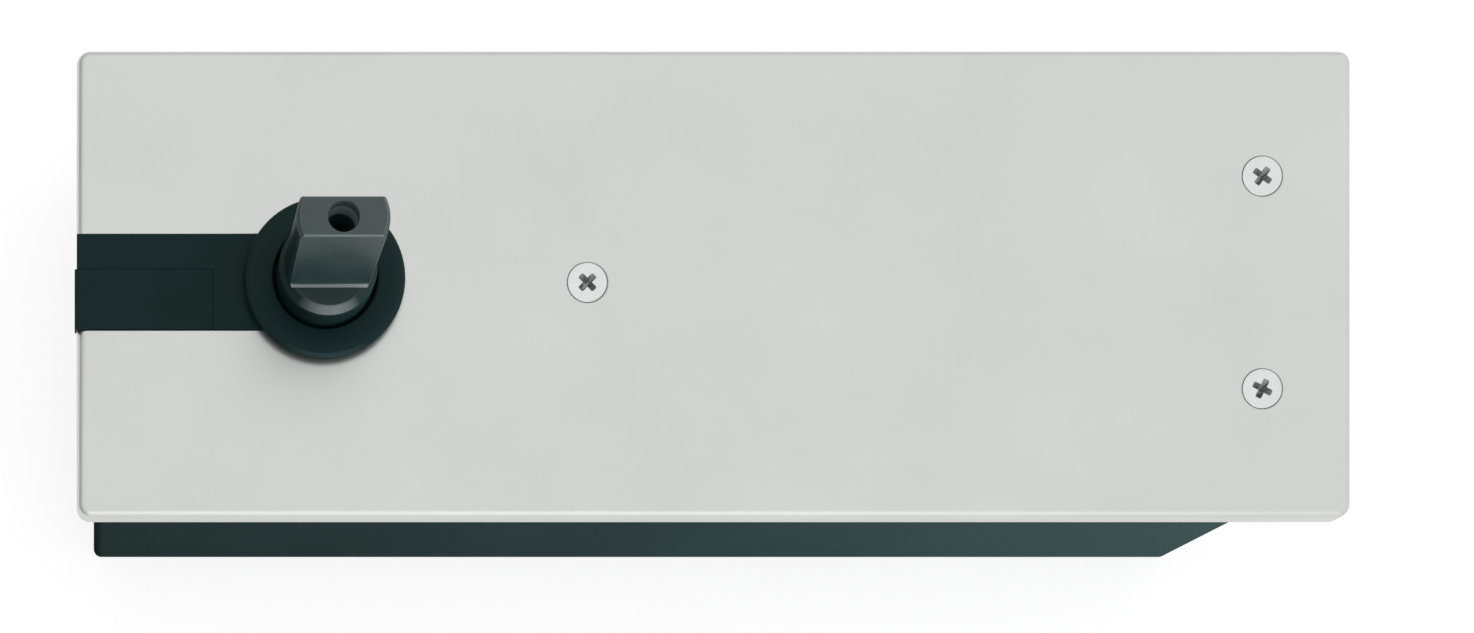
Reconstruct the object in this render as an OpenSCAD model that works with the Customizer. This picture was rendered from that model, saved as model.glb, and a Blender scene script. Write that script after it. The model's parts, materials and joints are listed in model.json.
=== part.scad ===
// Floor spring door closer: a sheet-steel floor box with a cast hydraulic body
// inside, a heart cam that drives a sprung piston, and a cover plate through
// which the spindle stands. Millimetres, +Z up, +X away from the spindle end.

/* [Cover plate] */
// Length of the cover plate
plate_l = 300; // [286:1:320]
// Width of the cover plate
plate_w = 110; // [106:1:124]
// Thickness of the cover's sheet
plate_t = 1.5; // [1.2:0.1:2]
// Depth of the rolled rim below the cover's top face
rim_h = 5; // [4:0.5:8]
// Inside radius of the rolled edge
edge_r = 0.6; // [0.3:0.1:1.5]
// Radius of the plate's corners
corner_r = 3.2; // [3.2:0.2:6]

/* [Slot insert] */
// Width of the slot from the cover's end to the spindle
slot_w = 22.6; // [20:0.2:26]
// Height of the rosette above the cover
rosette_h = 3.4; // [2.8:0.2:6]
// Diameter of the rosette where it meets the cover
rosette_d = 37.8; // [36:0.2:46]
// Rounding of the rosette's rim
rosette_round = 2.2; // [1:0.1:2.4]
// How far the end tab stands out past the cover's end
tab_proud = 0.5; // [0.2:0.1:1]

/* [Floor box] */
// How far the cover reaches past the box on three sides
box_inset = 4.6; // [4.4:0.2:7]
// How far the cover reaches past the box at the screw end
box_end_inset = 16.4; // [15:0.2:17]
// Thickness of the box's sheet
box_t = 1.2; // [1:0.1:2]
// Diameter of the fixing holes in the box's floor
fixing_d = 6.5; // [5:0.5:8]

/* [Spindle] */
// Distance from the cover's end to the spindle's axis
spindle_inset = 58; // [57:0.5:64]
// Diameter of the spindle's collar
collar_d = 22.8; // [21:0.2:23.4]
// Diameter over the round sides of the tongue
tongue_d = 20.6; // [18:0.2:20.8]
// Thickness of the tongue at its foot
tongue_foot = 10; // [9:0.5:12]
// Thickness of the tongue at its top
tongue_top = 8.8; // [8.2:0.2:9]
// Height of the tongue above the collar
tongue_h = 23.3; // [15:0.1:30]
// Height of the collar above the cover
collar_h = 9.9; // [7:0.1:14]
// Chamfer round the top of the collar
collar_chamfer = 1.6; // [0.5:0.1:2]
// Core diameter of the tapped hole in the spindle's top
tapped_d = 6.8; // [5:0.1:7.2]
// Depth of the tapped hole
tapped_depth = 18; // [12:1:22]

/* [Cam and roller] */
// Distance from the spindle's axis to the roller's axis with the door closed
cam_base = 22.5; // [22:0.1:23.5]
// Travel of the roller for each radian that the spindle turns
lift_rate = 8; // [6:0.5:8]
// Largest opening angle of the door
open_angle = 130; // [90:5:130]
// Diameter of the roller
roller_d = 17; // [16:0.2:17.6]
// Thickness of the cam
cam_t = 10; // [8:0.5:10]

/* [Cylinder] */
// Diameter of the cylinder bore
bore_d = 30; // [29:0.5:33]
// Length of the piston
piston_l = 20; // [18:1:24]
// Length of the cast body beyond the spindle
body_reach = 190; // [184:1:196]
// Wall between the bore and the outside of the casting
wall = 4.5; // [4:0.5:6]

/* [Closing spring] */
// Diameter of the spring's wire
wire_d = 4.2; // [3:0.2:4.6]
// Number of turns
spring_turns = 15; // [10:1:18]

/* [Fits] */
// Radial clearance of a running fit
run_gap = 0.05; // [0.02:0.01:0.08]
// Gap between parts that pass without touching
free_gap = 0.3; // [0.2:0.05:0.5]

/* [Hidden] */
$fn = 64;
hair = 0.01;
over = 1;
facet = 32;

// Places along X, all from the cover's end
left = tab_proud - (plate_l + tab_proud) / 2;
right = left + plate_l;
spindle_x = left + spindle_inset;
box_left = left + box_inset;
box_right = right - box_end_inset;
box_half = plate_w / 2 - box_inset;
box_in_half = box_half - box_t;
roll_r = edge_r + plate_t;
box_bend = 0.4;
box_corner = box_t + box_bend;

// Heights, built up from the floor
foot_gap = 1.3;
roof = wall + 1.5;
lid_boss_h = 4.5;
lid_gap = 1;
body_foot = box_t + foot_gap;
axis_z = body_foot + wall + bore_d / 2;
body_top = axis_z + bore_d / 2 + roof;
boss_top = body_top + lid_boss_h;
cover_under = boss_top + lid_gap;
cover_top = cover_under + plate_t;
collar_top = cover_top + collar_h;
spindle_top = collar_top + tongue_h;

// Cam, roller and carriage
roller_r = roller_d / 2;
lift = lift_rate * open_angle * PI / 180;
dwell_over = 12;
dwell_angle = open_angle + dwell_over;
cam_max = cam_base + lift_rate * dwell_angle * PI / 180 - roller_r;
cam_gap = 1;
chamber_r = cam_max + cam_gap;
pin_d = 7;
side_t = 3.5;
side_gap = 0.5;
side_out = cam_t / 2 + side_gap + side_t;
side_w = 23;
roller_gap = 2;
bridge_x = cam_base + roller_r + roller_gap;
bridge_t = 6;
journal_r = 8;
tail_rim = 3.2;
carriage_tail = lift + journal_r + tail_rim;
carriage_screw_d = 4;
carriage_screw_in = 9;
carriage_screw_y = side_w / 3;

// Piston and spring
bore_r = bore_d / 2;
piston_x = bridge_x + bridge_t;
piston_r = bore_r - run_gap;
ring_w = 3;
ring_depth = 1.6;
check_d = 6;
oilway_d = 3;
ball_play = 1;
check_seat_in = 12;
check_seat_x = piston_x + check_seat_in;
check_seat_l = 6;
check_gap = 0.3;
seat_gap = 0.05;
check_ball_r = check_d / 2 - check_gap;
check_ball_x = check_seat_x - sqrt(pow(check_ball_r, 2) - pow(oilway_d / 2, 2)) - seat_gap;
plug_t = 12;
plug_x = body_reach - plug_t;
plug_lip = 2;
plug_r = bore_r + plug_lip;
plug_groove_in = 3;
plug_groove_w = 2.5;
plug_key = 12;
plug_key_depth = 7;
seat_t = 2;
spring_x0 = piston_x + piston_l;
spring_x1 = plug_x - seat_t;
wire_r = wire_d / 2;
coil_gap = 1.2;
coil_end_gap = 0.2;
coil_r = bore_r - coil_gap - wire_r;
dead_turns = 1;
dead_pitch = wire_d * 1.04;
ring_steps = 16;
wire_sides = 8;

// Casting
head_wall = 8.5;
head_r = chamber_r + head_wall;
cast_corner = 4;
carriage_gap = 1;
chamber_floor = axis_z - side_out - carriage_gap;
gasket_t = 0.5;
lid_t = 4;
lid_seat = body_top - lid_t - gasket_t;
lid_hub_r = 23;
lid_hub_z = axis_z + side_out + carriage_gap;
lid_screw_d = 4;
lid_screw_in = 4.5;
lid_screw_circle = chamber_r + lid_screw_in;
lid_screw_gap = 0.4;
lid_screw_head_d = 7;
lid_screw_head_h = 4;
lid_screw_key = 3;
lid_screw_l = 14;
lid_screw_short = 1;
lid_screw_angles = [30 : 60 : 330];
boss_r = 20;

// Bearings and seal
upper_r = 11;
bearing_r = 19;
bearing_h = 8;
hub_gap = 1;
bearing_up = 1;
bearing_z = lid_hub_z + bearing_up;
ball_r = 2.6;
ball_circle = (upper_r + bearing_r) / 2;
ball_count = 12;
track_gap = 0.12;
race_t = 2.2;
bush_r = 12;
bush_h = 7;
bush_z = chamber_floor - bush_h;
seal_r = 15.5;
seal_h = 4;
seal_rest = 0.4;
seal_z = bearing_z + bearing_h + seal_rest;
hub_rest = 0.4;
shaft_rest = 1;
key_w = 5;
key_h = 5;
key_l = 9;
key_top_gap = 0.1;
key_side_gap = 0.05;
tongue_chamfer = 0.8;

// Valves and oil way beside the bore
channel_wall = 4;
channel_d = 4;
channel_y = bore_r + channel_wall + channel_d / 2;
channel_plug_d = channel_d + 2;
channel_plug_short = 1;
channel_key = 3;
closing_x = 112;
latching_x = 84;
valve_d = 7;
valve_sunk = 1;
valve_tip_h = 4;
valve_foot = 3;
valve_slot_w = 1.2;
valve_slot_h = 1.6;
valve_seal_t = 2;
valve_seal_in = 9;
valve_seal_depth = 1.2;
valve_seal_play = 0.1;
valve_port = 3;
port_in = 6;
side_wall = 3.5;
body_half = channel_y + valve_d / 2 + side_wall;
filler_in = 52;
filler_x = body_reach - filler_in;
filler_y = -9;
filler_d = 9.5;
filler_head_d = 14;
filler_head_h = 2.4;
filler_stem = 8;
filler_key = 5;
filler_key_depth = 4;
filler_washer_t = 1.2;
washer_over = 3;

// Ears that carry the levelling screws, and the clamps
ear_r = 7;
ear_h = 12;
ear_gap = 3;
ear_y = box_in_half - ear_r - ear_gap;
ear_left_x = -30;
ear_in = 12;
ear_right_x = body_reach - ear_in;
level_d = 8;
level_key = 4;
level_key_z = ear_h - 2;
clamp_x = 66;
clamp_d = 6;
clamp_gap = 0.5;
clamp_af = 10;
clamp_head_h = 4;
clamp_washer_d = 12.4;
clamp_washer_t = 1.6;
nut_h = 5;
nut_gap = 1;
clamp_ear_z = box_t + nut_h + nut_gap;
clamp_ear_t = 7;
clamp_y = body_half + clamp_washer_d / 2 + clamp_gap;

// Cover screws
screw_d = 5;
screw_head_d = 9.6;
screw_cone = 2.3;
screw_sunk = 0.1;
screw_play = 0.1;
sink_gap = 0.3;
screw_roof = 2;
recess_w = 1.1;
recess_l = 5.2;
recess_depth = 2.2;
mid_screw_x = 62;
post_r = 6.5;
lug_in = 21.4;
lug_x = right - lug_in;
lug_y = 25;
lug_w = 16;
lug_t = 5;
lug_l = 9;
screw_l = plate_t + lug_t;
fixing_in = 8.2;

// Insert
slot_half = slot_w / 2;
slot_gap = 0.1;
collar_gap = 0.8;
neck_wall = 2.7;
hole_r = collar_d / 2 + collar_gap;
neck_r = hole_r + neck_wall;
insert_proud = 0.3;
lip_w = 2.6;
lip_t = 0.7;
lip_gap = 0.1;
lip_in = 1;
tab_l = 32;
tab_y = 3;
tab_t = 1.2;

// An outline with rounded corners
module rounded(x0, x1, half, r) {
  translate([x0, -half + r]) square([x1 - x0, 2 * (half - r)]);
  translate([x0 + r, -half]) square([x1 - x0 - 2 * r, 2 * half]);
  for (x = [x0 + r, x1 - r], y = [-half + r, half - r]) translate([x, y]) circle(r);
}

// Stands its children on the spindle's axis
module at_spindle() {
  translate([spindle_x, 0, 0]) children();
}

// A cylinder along +X from x0, on the bore's axis
module along_x(x0, len, r) {
  translate([spindle_x + x0, 0, axis_z]) rotate([0, 90, 0]) cylinder(h = len, r = r);
}

// A ring about Z
module ring(z, h, r_out, r_in) {
  translate([0, 0, z]) difference() {
    cylinder(h = h, r = r_out);
    translate([0, 0, -over]) cylinder(h = h + 2 * over, r = r_in);
  }
}

// A hexagonal prism measured across its flats
module hexagon(af, h) {
  cylinder(h = h, d = af / cos(30), $fn = 6);
}

// A socket-head screw hanging down from z, with its head above
module cap_screw(d, head_d, head_h, len, key) {
  difference() {
    union() {
      cylinder(h = head_h, d = head_d);
      translate([0, 0, -len]) cylinder(h = len + hair, d = d);
    }
    translate([0, 0, head_h * 0.4]) hexagon(key, head_h);
  }
}

// The solid under the cover's rolled skin, shrunk by inset and cut off at a depth
module pillow(inset, depth) {
  r = roll_r - inset;
  hull() for (x = [left + corner_r, right - corner_r], y = [-1, 1] * (plate_w / 2 - corner_r))
    translate([x, y, cover_top - roll_r]) rotate_extrude($fn = facet) {
      translate([corner_r - roll_r, 0]) intersection() {
        circle(r, $fn = facet);
        square(r);
      }
      translate([0, roll_r - depth]) square([corner_r - inset, depth - roll_r + hair]);
    }
}

// The cone that a cover screw's head sinks into
module countersink() {
  translate([0, 0, -screw_cone - screw_sunk])
    cylinder(h = screw_cone + screw_sunk + hair, d1 = screw_d + sink_gap, d2 = screw_head_d + 2 * sink_gap);
}

module floor_box() {
  color("darkslategray") difference() {
    linear_extrude(cover_under) rounded(box_left, box_right, box_half, box_corner);
    translate([0, 0, box_t]) linear_extrude(cover_under)
      rounded(box_left + box_t, box_right - box_t, box_in_half, box_corner - box_t);
    for (x = [box_left + fixing_in, box_right - fixing_in], y = [-1, 1] * (box_half - fixing_in))
      translate([x, y, -over]) cylinder(h = box_t + 2 * over, d = fixing_d);
  }
}

module cover_lugs() {
  color("darkslategray") for (y = [-lug_y, lug_y]) difference() {
    translate([box_right - box_t - lug_l, y - lug_w / 2, cover_under - lug_t])
      cube([lug_l, lug_w, lug_t]);
    translate([lug_x, y, cover_under - lug_t - over]) cylinder(h = lug_t + 2 * over, d = screw_d);
    translate([lug_x, y, cover_top]) countersink();
  }
}

module floor_nuts() {
  color("gray") at_spindle() for (y = [-clamp_y, clamp_y]) translate([clamp_x, y, box_t])
    difference() {
      hexagon(clamp_af, nut_h);
      translate([0, 0, -over]) cylinder(h = nut_h + 2 * over, d = clamp_d);
    }
}

// A round ear joined to the body by a web
module ear(x, y, z, h) {
  translate([x, y, z]) cylinder(h = h, r = ear_r);
  translate([x - ear_r, min(y, 0), z]) cube([2 * ear_r, abs(y), h]);
}

// Everything that is solid iron before it is bored
module casting() {
  translate([0, 0, body_foot]) cylinder(h = lid_seat - body_foot, r = head_r);
  translate([0, 0, body_foot]) linear_extrude(lid_seat - body_foot)
    rounded(0, body_reach, body_half, cast_corner);
  translate([0, 0, lid_seat - over]) linear_extrude(body_top - lid_seat + over) difference() {
    rounded(0, body_reach, body_half, cast_corner);
    circle(head_r + free_gap);
  }
  for (x = [ear_left_x, ear_right_x], s = [-1, 1]) ear(x, s * ear_y, body_foot, ear_h);
  for (s = [-1, 1]) ear(clamp_x, s * clamp_y, clamp_ear_z, clamp_ear_t);
  translate([mid_screw_x, 0, body_top - over]) cylinder(h = cover_under - body_top + over, r = post_r);
}

module closer_body() {
  color("dimgray") difference() {
    at_spindle() casting();
    at_spindle() {
      translate([0, 0, chamber_floor]) cylinder(h = body_top, r = chamber_r);
      translate([0, 0, bush_z]) cylinder(h = bush_h + over, r = bush_r);
      for (a = lid_screw_angles) rotate([0, 0, a])
        translate([lid_screw_circle, 0, lid_seat - lid_screw_l + lid_t])
          cylinder(h = lid_screw_l, d = lid_screw_d);
      for (x = [ear_left_x, ear_right_x], y = [-ear_y, ear_y]) translate([x, y, body_foot - over])
        cylinder(h = body_foot + ear_h + 2 * over, d = level_d);
      for (y = [-clamp_y, clamp_y]) translate([clamp_x, y, clamp_ear_z - over])
        cylinder(h = clamp_ear_t + 2 * over, d = clamp_d + 2 * clamp_gap);
      for (x = [latching_x, closing_x]) {
        translate([x, channel_y, axis_z - channel_d]) cylinder(h = body_top, d = valve_d);
        translate([x, 0, axis_z]) rotate([-90, 0, 0]) cylinder(h = channel_y, d = valve_port);
      }
      translate([filler_x, filler_y, axis_z]) cylinder(h = body_top, d = filler_d);
      translate([mid_screw_x, 0, axis_z + bore_r + screw_roof]) cylinder(h = cover_top, d = screw_d);
      translate([mid_screw_x, 0, cover_top]) countersink();
      translate([plug_x - port_in, 0, axis_z]) rotate([-90, 0, 0])
        cylinder(h = channel_y, d = valve_port);
      translate([chamber_r / 2, channel_y, axis_z]) rotate([0, 90, 0])
        cylinder(h = body_reach, d = channel_d);
      translate([plug_x, channel_y, axis_z]) rotate([0, 90, 0])
        cylinder(h = plug_t + over, d = channel_plug_d);
    }
    along_x(chamber_r / 2, body_reach, bore_r);
    along_x(plug_x, plug_t + over, plug_r);
  }
}

// The lid's own outline: a disc cut square where the cylinder block begins
module lid_disc(z, h) {
  difference() {
    translate([0, 0, z]) cylinder(h = h, r = head_r);
    translate([0, 0, z - over]) for (a = lid_screw_angles) rotate([0, 0, a])
      translate([lid_screw_circle, 0, 0]) cylinder(h = h + 2 * over, d = lid_screw_d + lid_screw_gap);
  }
}

module body_lid() {
  color("dimgray") at_spindle() difference() {
    union() {
      lid_disc(body_top - lid_t, lid_t);
      translate([0, 0, lid_hub_z]) cylinder(h = body_top - lid_hub_z, r = lid_hub_r);
      translate([0, 0, body_top - over]) cylinder(h = boss_top - body_top + over, r = boss_r);
    }
    translate([0, 0, lid_hub_z - over]) cylinder(h = boss_top, r = upper_r + hub_gap);
    translate([0, 0, lid_hub_z - over]) cylinder(h = bearing_h + bearing_up + over, r = bearing_r);
    translate([0, 0, seal_z]) cylinder(h = boss_top, r = seal_r);
  }
}

module lid_gasket() {
  color("black") at_spindle() difference() {
    lid_disc(lid_seat, gasket_t);
    translate([0, 0, lid_seat - over]) cylinder(h = gasket_t + 2 * over, r = chamber_r);
  }
}

module lid_screws() {
  color("silver") at_spindle() for (a = lid_screw_angles) rotate([0, 0, a])
    translate([lid_screw_circle, 0, body_top])
      cap_screw(lid_screw_d - lid_screw_gap / 2, lid_screw_head_d, lid_screw_head_h,
        lid_screw_l - lid_screw_short, lid_screw_key);
}

module spindle() {
  half_turn = atan((tongue_foot - tongue_top) / 2 / tongue_h);
  color("slategray") at_spindle() difference() {
    union() {
      translate([0, 0, bush_z + shaft_rest]) cylinder(h = lid_hub_z - bush_z, r = journal_r - run_gap);
      translate([0, 0, lid_hub_z + hub_rest]) cylinder(h = boss_top - lid_hub_z, r = upper_r);
      translate([0, 0, boss_top]) cylinder(h = collar_top - collar_chamfer - boss_top, d = collar_d);
      translate([0, 0, collar_top - collar_chamfer])
        cylinder(h = collar_chamfer, d1 = collar_d, d2 = collar_d - 2 * collar_chamfer);
      translate([0, 0, boss_top]) cylinder(h = spindle_top - tongue_chamfer - boss_top, d = tongue_d);
      translate([0, 0, spindle_top - tongue_chamfer])
        cylinder(h = tongue_chamfer, d1 = tongue_d, d2 = tongue_d - 2 * tongue_chamfer);
    }
    for (s = [0, 180]) rotate([0, 0, s]) translate([-collar_d, tongue_foot / 2, collar_top])
      rotate([half_turn, 0, 0]) cube([2 * collar_d, collar_d, 2 * tongue_h]);
    translate([0, 0, spindle_top - tapped_depth]) cylinder(h = tapped_depth + over, d = tapped_d);
    translate([-journal_r - key_h / 2, -key_w / 2, axis_z - key_l / 2]) cube([key_h, key_w, key_l]);
  }
}

// Outline of the cam: the roller's seat, a spiral that lifts evenly, and a round back
function reach(a) = cam_base + lift_rate * min(a, dwell_angle) * PI / 180;
function slope(a) = a < dwell_angle ? lift_rate : 0;
function flank(a) = let (r = reach(a), s = slope(a), n = sqrt(r * r + s * s), k = roller_r + free_gap / 2)
  [r * cos(a) - k * (r * cos(a) + s * sin(a)) / n, r * sin(a) - k * (r * sin(a) - s * cos(a)) / n];
function cam_side() = [for (a = [0 : 4 : 180]) flank(a)];

module heart_cam() {
  seat_half = atan(lift_rate / cam_base);
  seat_r = roller_r + free_gap / 2;
  upper = cam_side();
  lower = [for (i = [len(upper) - 2 : -1 : 1]) [upper[i][0], -upper[i][1]]];
  seat = [for (a = [-seat_half : seat_half / 3 : seat_half - hair])
    [cam_base - seat_r * cos(a), seat_r * sin(a)]];
  color("steelblue") at_spindle() difference() {
    translate([0, 0, axis_z - cam_t / 2]) linear_extrude(cam_t) polygon(concat(seat, upper, lower));
    translate([0, 0, axis_z - cam_t]) cylinder(h = 2 * cam_t, r = journal_r);
    translate([-journal_r - key_h / 2, -key_w / 2, axis_z - cam_t]) cube([key_h, key_w, 2 * cam_t]);
  }
}

module cam_key() {
  color("silver") at_spindle()
    translate([-journal_r - key_h / 2 + key_top_gap, -key_w / 2 + key_side_gap,
      axis_z - key_l / 2 + key_side_gap])
      cube([key_h - 2 * key_top_gap, key_w - 2 * key_side_gap, key_l - 2 * key_side_gap]);
}

// The groove that both bearing rings share
module ball_track() {
  rotate_extrude() translate([ball_circle, bearing_z + bearing_h / 2]) circle(ball_r + track_gap);
}

module bearing_outer_ring() {
  color("silver") at_spindle() difference() {
    ring(bearing_z, bearing_h, bearing_r, bearing_r - race_t);
    ball_track();
  }
}

module bearing_inner_ring() {
  color("silver") at_spindle() difference() {
    ring(bearing_z, bearing_h, upper_r + race_t, upper_r);
    ball_track();
  }
}

module bearing_balls() {
  color("lightgray") at_spindle() for (i = [0 : ball_count - 1]) rotate([0, 0, i * 360 / ball_count])
    translate([ball_circle, 0, bearing_z + bearing_h / 2]) sphere(ball_r);
}

module lower_bush() {
  color("goldenrod") at_spindle() ring(bush_z, bush_h, bush_r, journal_r);
}

module thrust_washer() {
  color("goldenrod") at_spindle()
    ring(axis_z + cam_t / 2 + side_gap / 4, side_gap / 2, journal_r + 2, journal_r);
}

module shaft_seal() {
  color("black") at_spindle() ring(seal_z, seal_h, seal_r, upper_r + run_gap);
}

module roller() {
  color("lightgray") at_spindle() translate([cam_base, 0, 0])
    ring(axis_z - cam_t / 2, cam_t, roller_r, pin_d / 2 + run_gap);
}

module roller_pin() {
  color("silver") at_spindle() translate([cam_base, 0, axis_z - side_out])
    cylinder(h = 2 * side_out, d = pin_d);
}

module roller_carriage() {
  color("gray") intersection() {
    at_spindle() difference() {
      union() {
        for (z = [axis_z - side_out, axis_z + side_out - side_t])
          translate([-carriage_tail, -side_w / 2, z]) cube([carriage_tail + piston_x, side_w, side_t]);
        translate([bridge_x, -side_w / 2, axis_z - side_out]) cube([bridge_t, side_w, 2 * side_out]);
      }
      translate([0, 0, axis_z - bore_r]) {
        cylinder(h = bore_d, r = journal_r + free_gap);
        translate([-lift, 0, 0]) cylinder(h = bore_d, r = journal_r + free_gap);
        translate([-lift, -journal_r - free_gap, 0])
          cube([lift, 2 * (journal_r + free_gap), bore_d]);
        translate([cam_base, 0, 0]) cylinder(h = bore_d, d = pin_d);
      }
      for (y = [-carriage_screw_y, carriage_screw_y]) translate([bridge_x - over, y, axis_z])
        rotate([0, 90, 0]) cylinder(h = bridge_t + 2 * over, d = carriage_screw_d);
    }
    along_x(-chamber_r, 2 * chamber_r + bridge_t, bore_r - free_gap);
  }
}

module carriage_screws() {
  color("silver") at_spindle() for (y = [-carriage_screw_y, carriage_screw_y])
    translate([bridge_x, y, axis_z]) rotate([0, 90, 0])
      cylinder(h = bridge_t + carriage_screw_in, d = carriage_screw_d);
}

module piston() {
  color("lightsteelblue") difference() {
    along_x(piston_x, piston_l, piston_r);
    difference() {
      along_x(piston_x + piston_l / 2 - ring_w / 2, ring_w, bore_r + over);
      along_x(piston_x, piston_l, bore_r - ring_depth);
    }
    along_x(check_ball_x - check_ball_r - ball_play, piston_l, check_d / 2);
    along_x(piston_x - over, piston_l, oilway_d / 2);
    for (y = [-carriage_screw_y, carriage_screw_y]) translate([spindle_x + piston_x - over, y, axis_z])
      rotate([0, 90, 0]) cylinder(h = carriage_screw_in + 2 * over, d = carriage_screw_d);
  }
}

module piston_ring() {
  color("black") difference() {
    along_x(piston_x + (piston_l - ring_w) / 2 + run_gap, ring_w - 2 * run_gap, bore_r - run_gap / 2);
    along_x(piston_x, piston_l, bore_r - ring_depth + run_gap);
  }
}

module check_ball() {
  color("silver") translate([spindle_x + check_ball_x, 0, axis_z]) sphere(check_ball_r);
}

module check_seat() {
  color("goldenrod") difference() {
    along_x(check_seat_x, check_seat_l, check_d / 2);
    along_x(piston_x, piston_l, oilway_d / 2);
  }
}

// Place along the spring after t turns: close-wound at both ends, open between
function coil_run(t) = let (
    open_turns = spring_turns - 2 * dead_turns,
    open_run = spring_x1 - spring_x0 - wire_d - 2 * dead_turns * dead_pitch - 2 * coil_end_gap)
  wire_r + coil_end_gap + dead_pitch * (min(t, dead_turns) + max(t - spring_turns + dead_turns, 0))
    + open_run / open_turns * min(max(t - dead_turns, 0), open_turns);
function coil_ring(t) = [for (k = [0 : wire_sides - 1]) let (
    b = 360 * k / wire_sides, a = 360 * t, r = coil_r + wire_r * cos(b))
  [spring_x0 + coil_run(t) + wire_r * sin(b), r * cos(a), r * sin(a)]];

module closing_spring() {
  rings = spring_turns * ring_steps;
  points = [for (i = [0 : rings], p = coil_ring(i / ring_steps)) p];
  skin = [for (i = [0 : rings - 1], k = [0 : wire_sides - 1]) let (
      a = i * wire_sides + k, b = i * wire_sides + (k + 1) % wire_sides)
    [a, a + wire_sides, b + wire_sides, b]];
  caps = [[for (k = [0 : wire_sides - 1]) k],
    [for (k = [wire_sides - 1 : -1 : 0]) rings * wire_sides + k]];
  color("slategray") translate([spindle_x, 0, axis_z]) polyhedron(points, concat(skin, caps));
}

module spring_seat() {
  color("silver") difference() {
    along_x(plug_x - seat_t, seat_t, bore_r - free_gap);
    along_x(plug_x - seat_t - over, seat_t + 2 * over, coil_r / 2);
  }
}

module end_plug() {
  color("gray") difference() {
    along_x(plug_x, plug_t, plug_r - run_gap);
    difference() {
      along_x(plug_x + plug_groove_in, plug_groove_w, plug_r + over);
      along_x(plug_x + plug_groove_in, plug_groove_w, bore_r);
    }
    translate([spindle_x + body_reach - plug_key_depth, 0, axis_z]) rotate([0, 90, 0])
      hexagon(plug_key, plug_key_depth + over);
  }
}

module end_plug_seal() {
  color("black") difference() {
    along_x(plug_x + plug_groove_in + run_gap, plug_groove_w - 2 * run_gap, plug_r - run_gap / 2);
    along_x(plug_x, plug_t, bore_r + run_gap);
  }
}

// A speed valve: a threaded stem with a slot in its head and a tapered tip
module valve(x) {
  stem_z = axis_z + valve_foot;
  at_spindle() translate([x, channel_y, 0]) difference() {
    union() {
      translate([0, 0, stem_z])
        cylinder(h = body_top - valve_sunk - stem_z, r = valve_d / 2 - run_gap);
      translate([0, 0, stem_z - valve_tip_h])
        cylinder(h = valve_tip_h + hair, d1 = channel_d / 2, d2 = valve_d * 0.6);
    }
    difference() {
      translate([0, 0, body_top - valve_seal_in]) cylinder(h = valve_seal_t, d = valve_d + over);
      translate([0, 0, body_top - valve_seal_in - over])
        cylinder(h = valve_seal_t + 2 * over, d = valve_d - 2 * valve_seal_depth);
    }
    translate([-valve_d, -valve_slot_w / 2, body_top - valve_sunk - valve_slot_h])
      cube([2 * valve_d, valve_slot_w, valve_slot_h + over]);
  }
}

module closing_valve() {
  color("silver") valve(closing_x);
}

module latching_valve() {
  color("silver") valve(latching_x);
}

module valve_seals() {
  color("black") at_spindle() for (x = [latching_x, closing_x]) translate([x, channel_y, 0])
    ring(body_top - valve_seal_in + valve_seal_play, valve_seal_t - 2 * valve_seal_play,
      valve_d / 2 - run_gap / 2, valve_d / 2 - valve_seal_depth + valve_seal_play);
}

module channel_plug() {
  color("silver") at_spindle() translate([plug_x, channel_y, axis_z]) rotate([0, 90, 0])
    difference() {
      cylinder(h = plug_t - channel_plug_short, d = channel_plug_d);
      translate([0, 0, plug_t / 2]) hexagon(channel_key, plug_t);
    }
}

module filler_plug() {
  color("silver") at_spindle() translate([filler_x, filler_y, body_top + filler_washer_t]) difference() {
    union() {
      cylinder(h = filler_head_h, d = filler_head_d);
      translate([0, 0, -filler_stem]) cylinder(h = filler_stem + hair, d = filler_d - 2 * run_gap);
    }
    translate([0, 0, -filler_key_depth]) hexagon(filler_key, 2 * filler_key_depth);
  }
}

module filler_washer() {
  color("goldenrod") at_spindle() translate([filler_x, filler_y, 0])
    ring(body_top, filler_washer_t, filler_d / 2 + washer_over, filler_d / 2);
}

module levelling_screws() {
  color("dimgray") at_spindle() for (x = [ear_left_x, ear_right_x], y = [-ear_y, ear_y])
    translate([x, y, box_t]) difference() {
      cylinder(h = body_foot + ear_h, d = level_d - 2 * run_gap);
      translate([0, 0, level_key_z]) hexagon(level_key, body_foot + ear_h);
    }
}

module clamp_bolts() {
  color("silver") at_spindle() for (y = [-clamp_y, clamp_y])
    translate([clamp_x, y, 0]) {
      translate([0, 0, clamp_ear_z + clamp_ear_t + clamp_washer_t]) hexagon(clamp_af, clamp_head_h);
      translate([0, 0, box_t + nut_gap])
        cylinder(h = clamp_ear_z + clamp_ear_t + clamp_washer_t - box_t, d = clamp_d - 2 * run_gap);
    }
}

module clamp_washers() {
  color("silver") at_spindle() for (y = [-clamp_y, clamp_y]) translate([clamp_x, y, 0])
    ring(clamp_ear_z + clamp_ear_t, clamp_washer_t, clamp_washer_d / 2, clamp_d / 2 + run_gap);
}

// Where the three countersunk screws stand
module each_cover_screw() {
  translate([spindle_x + mid_screw_x, 0, cover_top]) children();
  for (y = [-lug_y, lug_y]) translate([lug_x, y, cover_top]) children();
}

module cover_plate() {
  color("silver") difference() {
    pillow(0, rim_h);
    pillow(plate_t, rim_h + over);
    translate([left - over, -slot_half, cover_top - rim_h - over])
      cube([spindle_inset + over, slot_w, rim_h + 2 * over]);
    translate([spindle_x, 0, cover_top - rim_h - over]) cylinder(h = rim_h + 2 * over, r = neck_r);
    each_cover_screw() countersink();
  }
}

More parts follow.
